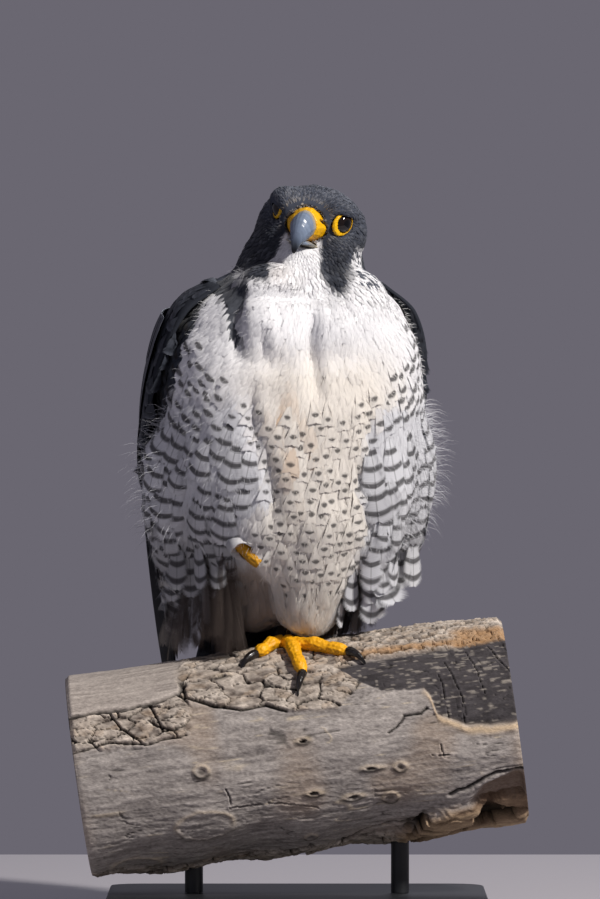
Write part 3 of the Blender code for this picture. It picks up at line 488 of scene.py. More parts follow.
@dataclass(frozen=True)
class WoodFinish(TintFinish):
    """Dead wood: its grain is drawn out along the branch."""

    stretch: tuple[float, float, float] = (0.35, 1.0, 1.0)

    def colour(self, tree: bpy.types.NodeTree) -> bpy.types.NodeSocket:
        """Vertex tint with specks and drawn-out grain."""
        place = add(tree, "VectorMath", add(tree, "TexCoord", out=3), self.stretch, operation="MULTIPLY")
        spots = add(tree, "TexNoise", place, None, self.grain_scale, 3.0, 0.65)
        factor = add(tree, "Math", spots, 2.6 * self.grain, 1 - 1.3 * self.grain, operation="MULTIPLY_ADD")
        return add(tree, "VectorMath", add(tree, "Attribute", attribute_name="tint"), factor, operation="MULTIPLY")

    def bump(self, tree: bpy.types.NodeTree) -> bpy.types.NodeSocket:
        """Fine relief along the grain."""
        place = add(tree, "VectorMath", add(tree, "TexCoord", out=3), self.stretch, operation="MULTIPLY")
        return add(tree, "Bump", self.relief, 0.5 * MM, None, add(tree, "TexNoise", place, None, self.relief_scale, 5.0, 0.6))


@dataclass(frozen=True)
class PlainFinish(Finish):
    """One plain colour."""

    shade: str = "#808080"

    def colour(self, tree: bpy.types.NodeTree) -> None:
        """Sets the shader's own colour."""
        tree.nodes["Principled BSDF"].inputs["Base Color"].default_value = rgba(self.shade)


# Soft white and grey contour feathers, dull and a little downy
WHITE_PLUME = PlumeFinish("white contour feathers", roughness=0.9, specular=0.12, sheen=0.15)
# Flank feathers carry a fine black shaft
FLANK_PLUME = PlumeFinish("barred flank feathers", roughness=0.88, specular=0.12, sheen=0.12, shaft=0.4)
# Tight slate feathers of the head, with a faint gloss
HEAD_PLUME = PlumeFinish("slate head feathers", roughness=0.62, specular=0.3, sheen=0.1)
# Slate feathers of the back with paler rims
BACK_PLUME = PlumeFinish("slate back feathers", roughness=0.55, specular=0.35, mark="#23262c", shaft=0.5, rim=0.55)
# Stiff quills, smoother than the body's feathers
QUILL = PlumeFinish("wing and tail quills", roughness=0.48, specular=0.4, mark="#14161a", shaft=0.8, rim=0.6)
DOWN = TintFinish("loose down barbs", roughness=0.95, specular=0.1, grain=0.05)
SKIN = TintFinish("skin under the plumage", roughness=0.9, specular=0.1, grain=0.15, relief=0.3)
# Bare yellow skin has a waxy gloss over small scales
WAX = ScaleFinish("waxy yellow cere", roughness=0.38, specular=0.45, grain=0.08, relief=0.25, relief_scale=900.0)
TOE_SKIN = ScaleFinish("scaly yellow toe skin", roughness=0.5, specular=0.4, grain=0.14, relief=0.55, relief_scale=420.0)
# Bill horn is polished, with fine growth lines
BILL_HORN = TintFinish("polished bill horn", roughness=0.3, specular=0.5, grain=0.1, grain_scale=350.0)
CLAW_HORN = TintFinish("black claw horn", roughness=0.22, specular=0.55, grain=0.1)
EYE_WET = TintFinish("wet dark eye", roughness=0.05, specular=0.5, coat=0.2, grain=0.05)
# Dry wood: dull, with fine grain that runs along the branch
WOOD = WoodFinish("weathered bark and wood", roughness=0.9, specular=0.12, grain=0.5, grain_scale=1500.0, relief=1.0)
STEEL = PlainFinish("black painted steel", roughness=0.42, specular=0.4, shade="#26272a")
FLOOR = PlainFinish("pale floor", roughness=0.9, specular=0.1, shade="#aeabb0")


# Plumage


class Surface:
    """A closed skin that feathers grow on, read in millimetres."""

    def __init__(self, obj: bpy.types.Object) -> None:
        """Reads the object's triangles."""
        obj.data.calc_loop_triangles()
        corners = np.empty(len(obj.data.loop_triangles) * 3, dtype=np.int32)
        obj.data.loop_triangles.foreach_get("vertices", corners)
        self.points = vertex_table(obj)
        self.normals = normal_table(obj)
        self.triangles = corners.reshape(-1, 3)
        self.tree = BVHTree.FromPolygons(self.points.tolist(), self.triangles.tolist())

    def nearest(self, places: np.ndarray) -> tuple[np.ndarray, np.ndarray]:
        """The closest surface points and their smooth normals."""
        found = np.empty_like(places)
        normals = np.empty_like(places)
        for i, place in enumerate(places):
            point, _, face, _ = self.tree.find_nearest(place)
            found[i] = point
            normals[i] = self.normals[self.triangles[face]].sum(axis=0)
        return found, unit(normals)

    def scatter(
        self, spacing: float, weight, rng: np.random.Generator, rows: float = 1.0
    ) -> tuple[np.ndarray, np.ndarray]:
        """Evenly uneven roots.

        Args:
            spacing: Least distance between two roots, in millimetres.
            weight: Function of points that gives the chance from 0 to 1 that a root may grow there.
            rng: Seeded source of random numbers.
            rows: How many times farther apart two roots are up the body than round it.

        Returns:
            The roots and the surface normals there.
        """
        a, b, c = (self.points[self.triangles[:, k]] for k in range(3))
        area = np.linalg.norm(np.cross(b - a, c - a), axis=1) / 2
        area *= weight((a + b + c) / 3) > 0.01
        count = int(area.sum() / spacing**2 / rows * 5)
        if not count:
            return np.zeros((0, 3)), np.zeros((0, 3))
        pick = rng.choice(len(area), size=count, p=area / area.sum())
        r, s = np.sqrt(rng.random(count))[:, None], rng.random(count)[:, None]
        spots = a[pick] * (1 - r) + b[pick] * r * (1 - s) + c[pick] * r * s
        spots = spots[rng.random(count) < weight(spots)]
        kept: list[int] = []
        grid: dict[tuple[int, ...], list[int]] = {}
        flat = spots / (1.0, 1.0, rows)
        keys = np.floor(flat / spacing).astype(int)
        near = [(i, j, k) for i in (-1, 0, 1) for j in (-1, 0, 1) for k in (-1, 0, 1)]
        table = flat.tolist()
        for index, (x, y, z) in enumerate(keys.tolist()):
            spot = table[index]
            if any(
                math.dist(spot, table[other]) < spacing
                for i, j, k in near
                for other in grid.get((x + i, y + j, z + k), ())
            ):
                continue
            grid.setdefault((x, y, z), []).append(index)
            kept.append(index)
        return self.nearest(spots[kept])


@dataclass
class Pattern:
    """Where the plumage is slate or white, and the lie of its feathers."""

    # Heights in the frame of the breast, and how far back the slate of the back begins there
    back_heights: tuple[float, ...] = (-20.0, 40.0, 60.0, 80.0, 100.0, 130.0, 178.0, 216.0, 240.0, 262.0)
    back_edge: tuple[float, ...] = (92.0, 76.0, 62.0, 50.0, 40.0, 28.0, 6.0, -5.0, 3.0, 11.0)
    # Where the dark shoulder begins on the bird's right: heights and angles round the breast
    shoulder_heights: tuple[float, ...] = (112.0, 130.0, 150.0, 163.0, 176.0, 192.0, 211.0, 225.0, 236.0)
    shoulder_edge: tuple[float, ...] = (-125.0, -100.0, -88.0, -78.0, -75.5, -74.0, -71.5, -75.0, -84.0)
    # Heights in the frame of the head, and the angles round it where the moustache begins and ends
    stripe_heights: tuple[float, ...] = (-50.0, -45.0, -41.0, -37.0, -33.0, -26.0, -20.0, -14.0, -8.0)
    stripe_front: tuple[float, ...] = (60.0, 55.0, 49.0, 43.0, 38.0, 30.0, 28.0, 29.0, 24.0)
    stripe_back: tuple[float, ...] = (56.0, 56.0, 52.0, 57.0, 60.0, 68.0, 74.0, 82.0, 100.0)
    # Inner edges of the barred flanks: heights and angles, on the bird's right and on its left
    right_flank: tuple[tuple[float, ...], ...] = (
        (35.0, 52.0, 72.0, 85.0, 92.0, 113.0, 131.0, 146.0, 170.0),
        (-60.0, -55.0, -51.0, -38.0, -28.0, -30.0, -34.0, -37.0, -42.0),
    )
    left_flank: tuple[tuple[float, ...], ...] = (
        (60.0, 78.0, 92.0, 105.0, 137.0, 150.0, 170.0),
        (36.0, 33.0, 26.0, 22.0, 25.0, 32.0, 40.0),
    )
    # How far down the left flank reaches, across the view
    left_low: tuple[tuple[float, ...], ...] = ((44.0, 58.0, 80.0, 95.0), (16.0, 32.0, 52.0, 88.0))
    # Painted shade: a dark wedge beside the bib, where the side of its lobe on the bird's right turns from the light:
    # heights over the branch, and how far across it reaches
    shade_wedge_heights: tuple[float, ...] = (190.0, 198.0, 204.6, 211.0, 217.8, 224.4, 231.0, 235.6)
    wedge_left: tuple[float, ...] = (-31.0, -37.6, -40.3, -42.9, -45.5, -47.5, -50.2, -51.5)
    wedge_right: tuple[float, ...] = (-29.7, -33.7, -35.6, -37.0, -36.3, -35.0, -33.0, -32.3)
    # The tucked foot's line, across the view and over the branch
    tucked: tuple[tuple[float, float], ...] = ((-44.0, 64.0), (-23.0, 42.0))
    # Buff stains on the breast, in its own frame
    stains: tuple[tuple[float, float], ...] = ((-12.0, 114.0), (-29.0, 140.0))

    def head_share(self, points: np.ndarray) -> np.ndarray:
        """1 on the head, 0 on the trunk."""
        return step(-56.0, -38.0, local(points, HEAD_FRAME)[:, 2])

    def slate(self, points: np.ndarray) -> np.ndarray:
        """How dark the plumage is, from 0 on white to 1 on slate."""
        body = local(points, BODY_FRAME)
        ragged = 2.5 * noise(points, 9.0, 3)
        edge = np.interp(body[:, 2], self.back_heights, self.back_edge)
        back = step(-2.5, 2.5, body[:, 1] - edge + ragged)
        side = round_breast(body)
        shoulder = np.interp(body[:, 2], self.shoulder_heights, self.shoulder_edge)
        back = np.maximum(back, step(1.5, -1.5, side - shoulder + 0.8 * ragged) * (side < 0))
        head = local(points, HEAD_FRAME)
        angle = np.abs(round_breast(head)) + 3.0 * noise(points, 5.0, 4)
        height = head[:, 2] + 1.2 * noise(points, 4.0, 5)
        front = np.interp(height, self.stripe_heights, self.stripe_front)
        rear = np.interp(height, self.stripe_heights, self.stripe_back)
        # On the far side of the head, the bird's right, slate runs on behind the moustache over the white cheek as
        # painted shade
        rear = rear + 60.0 * (head[:, 0] < 0) * step(-40.0, -36.0, height)
        stripe = step(-3.0, 3.0, angle - front) * step(4.0, -4.0, angle - rear) * step(-46.0, -41.5, height)
        crown = step(-14.0, -9.0, height)
        nape = step(116.0, 126.0, angle)
        face = np.maximum(np.maximum(stripe, crown), nape)
        share = self.head_share(points)
        total = face * share + np.maximum(back, nape * (body[:, 2] > 225.0)) * (1 - share)
        # The turned head lays the far moustache over the collar, with a pale patch behind it where the far cheek's
        # white shows through the painted shade
        x, y, z = (points + (0.0, 0.0, -PERCH_TOP)).T
        front = step(6.0, -4.0, y)
        patch = step(-43.0, -40.0, x) * step(-32.0, -35.0, x) * step(236.5, 240.0, z) * step(250.0, 246.0, z) * front
        collar = step(-30.5, -33.0, x) * step(231.0, 235.0, z) * step(268.0, 262.0, z) * front
        tip = step(-34.5, -32.0, x) * step(-16.5, -19.5, x) * step(239.0, 242.0, z) * step(258.0, 254.0, z)
        x = x + 0.8 * ragged
        # Painted shade in the wedge beside the bib, joined to the far moustache's tip
        left, right = (np.interp(z, self.shade_wedge_heights, table) for table in (self.wedge_left, self.wedge_right))
        painted_shade_wedge = step(-1.5, 1.5, x - left) * step(1.5, -1.5, x - right) * step(188.0, 194.0, z) * step(240.0, 236.0, z)
        tip = np.maximum(tip, 0.95 * painted_shade_wedge) * step(-8.0, -16.0, y)
        return np.maximum(total, np.maximum(tip, collar)) * (1 - 0.45 * patch)

    def flank(self, points: np.ndarray) -> np.ndarray:
        """How far a place belongs to the barred flanks, from 0 to 1."""
        body = local(points, BODY_FRAME)
        angle = round_breast(body)
        x, z = body[:, 0], body[:, 2]
        right = step(4.0, -4.0, angle - np.interp(z, *self.right_flank)) * (angle < 0)
        left = step(-4.0, 4.0, angle - np.interp(z, *self.left_flank)) * (angle > 0)
        low = np.where(angle < 0, np.interp(x, (-70.0, -58.0), (22.0, 46.0)), np.interp(points[:, 0], *self.left_low))
        return (right + left) * step(168.0, 146.0, z + 4 * noise(points, 14.0, 6)) * step(-6.0, 6.0, z - low)

    def off_foot(self, points: np.ndarray) -> np.ndarray:
        """0 where the tucked foot comes out of the plumage, 1 elsewhere."""
        start, stop = np.array(self.tucked[0]), np.array(self.tucked[1])
        run = stop - start
        spot = points[:, [0, 2]] - (0.0, PERCH_TOP) - start
        share = np.clip(spot @ run / (run @ run), 0.0, 1.0)
        away = np.linalg.norm(spot - share[:, None] * run, axis=1)
        return np.where(points[:, 1] < -30.0, step(6.5, 10.0, away), 1.0)

    def fluff(self, points: np.ndarray) -> np.ndarray:
        """The dull fluff of the thighs and vent, from 0 to 1."""
        body = local(points, BODY_FRAME)
        inner = np.maximum(step(-42.0, -52.0, round_breast(body)), step(-12.0, 0.0, body[:, 1]))
        return step(58.0, 44.0, body[:, 2]) * inner * (1 - self.flank(points))

    def tint(self, points: np.ndarray, slate: np.ndarray) -> np.ndarray:
        """Base colour of the plumage at the points."""
        body = local(points, BODY_FRAME)
        head = local(points, HEAD_FRAME)
        share = self.head_share(points)[:, None]
        mottle = noise(points, 16.0, 8)[:, None]
        low = step(150.0, 40.0, body[:, 2])
        side = np.abs(round_breast(body))
        cream = step(62.0, 20.0, side) * step(205.0, 165.0, body[:, 2])
        white = blend(np.tile(linear("#eeeef0"), (len(points), 1)), "#e9e3da", cream)
        white = blend(white, "#d6d7db", self.flank(points))
        white = white * (1 - 0.12 * low[:, None]) * (1 + 0.04 * mottle)
        # Painted shade: the lower flank on the bird's right, turned from the light, is a third darker
        deep = self.flank(points) * step(92.0, 52.0, body[:, 2]) * (body[:, 0] < 0)
        white = white * (1 - 0.35 * deep[:, None])
        streaks = step(0.0, 0.7, noise(points * (1.0, 1.0, 0.4), 5.0, 9)) * (body[:, 1] < 0)
        for x, z in self.stains:
            white = blend(white, "#c79a66", 0.6 * streaks * blob(body[:, [0, 2]], (x, z), (11.0, 20.0)))
        # Thighs and vent dull brown-grey: partly their own colour, partly painted shade on the bird's right and behind
        white = blend(white, "#93877d", 0.9 * self.fluff(points))
        # Painted shadow of the bill, brownish, on the chin
        white = blend(white, "#a08b78", 0.3 * share[:, 0] * blob(head[:, [0, 2]], (-6.0, -38.0), (9.0, 8.0)))
        crown = linear("#474c58") * share + linear("#4a515e") * (1 - share)
        dark = crown * (1 + 0.16 * mottle)
        cheek = step(2.0, -12.0, head[:, 2])[:, None] * share
        # The cheek and moustache are darker in their own colour; slate on the front of the trunk is halved as painted
        # shade
        dark = dark * (1 - 0.42 * cheek) * (1 - 0.5 * step(-10.0, -24.0, points[:, 1])[:, None] * (1 - share))
        return white * (1 - slate[:, None]) + dark * slate[:, None]

    def lie(self, points: np.ndarray, normals: np.ndarray) -> np.ndarray:
        """Direction in which the feathers lie, along the surface."""
        body = local(points, BODY_FRAME)
        angle = np.arctan2(body[:, 0], -body[:, 1])
        turn = np.array(BODY_FRAME.to_3x3())
        around = np.stack([np.cos(angle), np.sin(angle), np.zeros(len(angle))], axis=1) @ turn.T
        # From the middle of the breast feathers slant out to the sides, less so low down
        spread = (0.42 + 0.45 * step(120.0, 170.0, body[:, 2])) * step(20.0, 120.0, body[:, 2])
        spread *= np.sin(angle) * (np.abs(angle) < 2.2)
        down = np.tile([0.0, 0.12, -1.0], (len(points), 1)) + around * spread[:, None]
        radial = unit(body * (1.0, 1.0, 0.0)) @ turn.T
        down += radial * (0.7 * step(190.0, 240.0, body[:, 2]))[:, None]
        place = local(points, HEAD_FRAME)
        head = place - (0.0, -36.0, -4.0)
        back = unit(head) + np.array([0.0, 0.0, -0.35]) * step(0.0, 40.0, head[:, 1])[:, None]
        # The shortest feathers lie over the edge of the cere, and run round the rings of the eyes
        rim = np.hypot(place[:, 0] / 13.0, (place[:, 2] + 3.0) / 11.5)
        back *= (1 - 2 * step(1.28, 1.16, rim) * (place[:, 1] < -14.0))[:, None]
        for side in (1, -1):
            off = place - (side * 25.6, -18.5, 3.3)
            near = step(11.5, 9.0, np.linalg.norm(off, axis=1))[:, None]
            out = unit(off)
            back -= out * (back * out).sum(axis=1, keepdims=True) * near * 1.15
        back = back @ np.array(HEAD_FRAME.to_3x3()).T
        share = step(-62.0, -30.0, local(points, HEAD_FRAME)[:, 2])[:, None]
        flow = back * share + down * (1 - share)
        return unit(flow - normals * (flow * normals).sum(axis=1, keepdims=True))


@dataclass
class Plumes:
    """Feathers laid out on a surface: midribs, widths and marks, one row for each feather."""

    ribs: np.ndarray
    normals: np.ndarray
    lengths: np.ndarray
    widths: np.ndarray
    tints: np.ndarray
    marks: np.ndarray
    forms: np.ndarray
    places: np.ndarray

    def pick(self, rows: np.ndarray) -> "Plumes":
        """Some of the feathers."""
        return Plumes(*(getattr(self, part.name)[rows] for part in fields(self)))


@dataclass(frozen=True)
class Growth:
    """How one kind of feather grows, in millimetres."""

    name: str
    spacing: float
    length: float
    width: float
    height: float
    finish: Finish
    slot: Slot
    barbs: int = 9
    rows: int = 5
    variation: float = 0.16
    splay: float = 0.14
    cling: float = 0.8
    slant: float = 0.55
    camber: float = 0.10
    slim: float = 0.62
    tone: float = 0.08
    free: float = 0.0
    tuck: float = 0.35
    fill: float = 0.62


@dataclass
class Coat:
    """Grows feathers on the skin, and turns them into meshes of barbs."""

    surface: Surface
    pattern: Pattern
    unwrap_height: tuple[float, float] = (140.0, 500.0)
    patch: float = 0.003

    def unwrap(self, points: np.ndarray) -> np.ndarray:
        """Places of roots on an unwrap of the skin: round the bird and up it."""
        body = local(points, BODY_FRAME)
        around = np.arctan2(body[:, 0], -body[:, 1]) / (2 * math.pi) + 0.5
        low, high = self.unwrap_height
        return np.stack([around, (points[:, 2] - low) / (high - low)], axis=1) * 0.98 + 0.01

    def grow(self, kind: Growth, roots: np.ndarray, normals: np.ndarray, rng: np.random.Generator) -> Plumes:
        """Walks each feather's midrib along the surface from its root.

        Args:
            kind: Sizes of this kind of feather.
            roots: Where they grow.
            normals: The surface's normals there.
            rng: Seeded source of random numbers.

        Returns:
            The feathers, still without marks.
        """
        count = len(roots)
        size = 1 + kind.variation * rng.uniform(-1, 1, count)
        lengths = kind.length * size
        way = self.pattern.lie(roots, normals)
        side = np.cross(normals, way)
        turn = kind.splay * rng.normal(size=count)[:, None]
        way = unit(way * np.cos(turn) + side * np.sin(turn))
        rise = kind.height * (1 + 0.3 * rng.uniform(-1, 1, count))
        down = np.array([0.0, 0.0, -1.0])
        # Feathers that hang free turn down at once
        way = unit(way + down * kind.free)
        place = roots - normals * 0.4
        ribs, ups = [place], [unit(normals * (1.0, 1.0, 0.0)) if kind.free else normals]
        for row in range(1, kind.rows):
            share = row / (kind.rows - 1)
            moved = place + way * (lengths / (kind.rows - 1))[:, None]
            found, up = self.surface.nearest(moved)
            above = ((moved - found) * up).sum(axis=1)
            wanted = rise * (1 - (1 - share) ** 2) * (1 - kind.tuck * share**2)
            pull = np.where(above > wanted, kind.cling, 0.0 if kind.free else 1.0) * (wanted - above)
            moved = moved + up * pull[:, None]
            new_way = unit(moved - place)
            # A feather that hangs free keeps its face and falls, one that clings follows the skin
            up = ups[0] if kind.free else up
            ups.append(unit(up - new_way * (up * new_way).sum(axis=1, keepdims=True)))
            flow = down if kind.free else self.pattern.lie(found, up)
            way = unit(new_way * 0.6 + flow * 0.4 * max(kind.cling, kind.free))
            if kind.free:
                # Hanging feathers end over the branch
                low = PERCH_TOP + moved[:, 0] * math.tan(PERCH_SLOPE) + 2.5
                moved[:, 2] = np.maximum(moved[:, 2], low)
            place = moved
            ribs.append(place)
        middles = ribs[kind.rows // 2]
        slate = self.pattern.slate(middles)
        tints = self.pattern.tint(middles, slate) * (1 + kind.tone * rng.normal(size=(count, 1)))
        empty = np.tile([1.0, 1.0, 0.0], (count, 1))
        return Plumes(
            np.stack(ribs, axis=1),
            np.stack(ups, axis=1),
            lengths,
            kind.width * size,
            tints,
            np.concatenate([lengths[:, None], empty[:, 1:]], axis=1),
            np.tile([0.5, 1.0, 0.0], (count, 1)),
            self.unwrap(roots),
        )

    def mesh(self, kind: Growth, plumes: Plumes, name: str) -> bpy.types.Object:
        """Builds every feather as pairs of barbs along its midrib.

        Args:
            kind: Sizes of this kind of feather.
            plumes: The feathers.
            name: The piece's name.

        Returns:
            The joined piece.
        """
        count, rows, _ = plumes.ribs.shape
        tangents = unit(np.gradient(plumes.ribs, axis=1))
        sides = np.cross(plumes.normals, tangents)
        starts = np.linspace(0.06, 0.97, kind.barbs)
        pitch = (starts[1] - starts[0]) * kind.fill
        points, coords, turned = [], [], []
        aspect = (plumes.widths / plumes.lengths)[:, None]
        for hand in (-1.0, 1.0):
            for start in starts:
                # Uneven barbs leave a frayed edge
                fringe = 1 + 0.09 * math.sin(97.0 * start + 2.0 * hand) + 0.05 * math.sin(61.0 * start)
                reach = fringe * (1 - abs(2 * start - 1) ** 2.4) ** kind.slim
                # Two roots on the shaft, two points halfway, one at the tip
                stations = (
                    (0.0, start - pitch),
                    (0.0, start + pitch),
                    (0.6 * reach, start + pitch * 0.7),
                    (0.6 * reach, start - pitch * 0.7),
                    (reach, start),
                )
                for u, v in stations:
                    lean = kind.slant * u * aspect[:, 0] * (1 - 0.75 * start)
                    at = v + lean
                    base, up, across = (self.along(table, at) for table in (plumes.ribs, plumes.normals, sides))
                    drop = kind.camber * (u**2) * plumes.widths
                    spot = base + across * (hand * u * plumes.widths / 2)[:, None] - up * drop[:, None]
                    points.append(spot)
                    coords.append(np.stack([np.full(count, hand * u), at], axis=1))
                    turned.append(unit(up + across * (0.35 * hand * u)))
        each = len(points)
        table = np.stack(points, axis=1).reshape(-1, 3)
        coords_table = np.stack(coords, axis=1).reshape(-1, 2)
        pattern = []
        for barb in range(each // 5):
            first = barb * 5
            quad = (first, first + 1, first + 2, first + 3)
            if barb >= kind.barbs:
                pattern += [(quad[0], quad[1], quad[2]), (quad[0], quad[2], quad[3]), (quad[3], quad[2], first + 4)]
            else:
                pattern += [(quad[0], quad[2], quad[1]), (quad[0], quad[3], quad[2]), (quad[3], first + 4, quad[2])]
        faces = (np.array(pattern)[None] + (np.arange(count) * each)[:, None, None]).reshape(-1, 3)
        made = make_object(name, table, faces, kind.finish.build())
        spread = np.repeat(np.arange(count), each)
        tints = np.concatenate([plumes.tints, np.ones((count, 1))], axis=1)[spread]
        point_values(made, "tint", "FLOAT_COLOR", np.clip(tints, 0.0, 1.0))
        point_values(made, "marks", "FLOAT_VECTOR", plumes.marks[spread])
        point_values(made, "mark_form", "FLOAT_VECTOR", plumes.forms[spread])
        corner_map(made, "Feather", coords_table * (0.5, 1.0) + (0.5, 0.0))
        corner_map(made, "OFBake", plumes.places[spread] + coords_table * (0.5, 1.0) * self.patch)
        choose(made)
        bpy.ops.object.shade_smooth()
        # Barbs are shaded by the lie of the whole vane, which keeps the coat soft
        made.data.normals_split_custom_set_from_vertices(np.stack(turned, axis=1).reshape(-1, 3))
        return made

    @staticmethod
    def along(table: np.ndarray, share: np.ndarray) -> np.ndarray:
        """Values of a table of rows at a share of the length, run on past its last row."""
        rows = table.shape[1]
        spot = np.maximum(share, 0.0) * (rows - 1)
        low = np.clip(np.floor(spot).astype(int), 0, rows - 2)
        part = (spot - low)[:, None]
        index = np.arange(len(table))
        return table[index, low] * (1 - part) + table[index, low + 1] * part


# Kinds of body feather, from the face down
FACE = Growth("face", 1.2, 3.4, 1.5, 0.45, HEAD_PLUME, Slot.SLATE, barbs=4, rows=3, slant=0.9, tone=0.12)
CROWN = Growth("crown", 1.8, 6.5, 2.6, 1.0, HEAD_PLUME, Slot.SLATE, barbs=5, rows=4, slant=1.0, tone=0.14)
BIB = Growth("bib", 2.6, 12.5, 6.0, 1.3, WHITE_PLUME, Slot.WHITE, barbs=12, slant=1.5, splay=0.16, tone=0.015, tuck=0.6)
BELLY = Growth(
    "belly", 3.0, 15.5, 6.8, 1.4, WHITE_PLUME, Slot.WHITE, barbs=13, slant=1.4, splay=0.16, tone=0.02, tuck=0.6
)
SPOTTED = Growth(
    "spotted", 6.9, 19.0, 12.0, 2.5, WHITE_PLUME, Slot.WHITE, barbs=24, slant=1.5, splay=0.1, tone=0.015, tuck=0.25
)
BARRED = Growth(
    "barred", 9.6, 42.0, 21.0, 3.4, FLANK_PLUME, Slot.WHITE, barbs=44, rows=7, slant=1.3, splay=0.09, tone=0.04, tuck=0.3
)
HANGING = Growth(
    "hanging", 7.5, 34.0, 14.0, 3.0, FLANK_PLUME, Slot.WHITE, barbs=32, slant=1.1, splay=0.1, cling=0.0, free=0.8
)
THIGH = Growth(
    "thigh", 2.7, 21.0, 6.0, 3.2, WHITE_PLUME, Slot.WHITE, 13, slant=3.2, splay=0.24, cling=0.6, tone=0.08, fill=0.3
)
VENT = Growth(
    "vent", 2.9, 56.0, 9.0, 3.0, WHITE_PLUME, Slot.WHITE, 24, slant=4.5, splay=0.16, cling=0.0, free=0.95, tone=0.12, fill=0.25
)
# Small coverts of the folded wings
COVERT = Growth("coverts", 5.0, 15.0, 10.5, 1.3, BACK_PLUME, Slot.SLATE, barbs=18, slant=0.8, splay=0.05, camber=0.05)
MANTLE = Growth("mantle", 6.0, 21.0, 13.0, 2.2, BACK_PLUME, Slot.SLATE, barbs=18, slant=0.9, splay=0.08, camber=0.06)


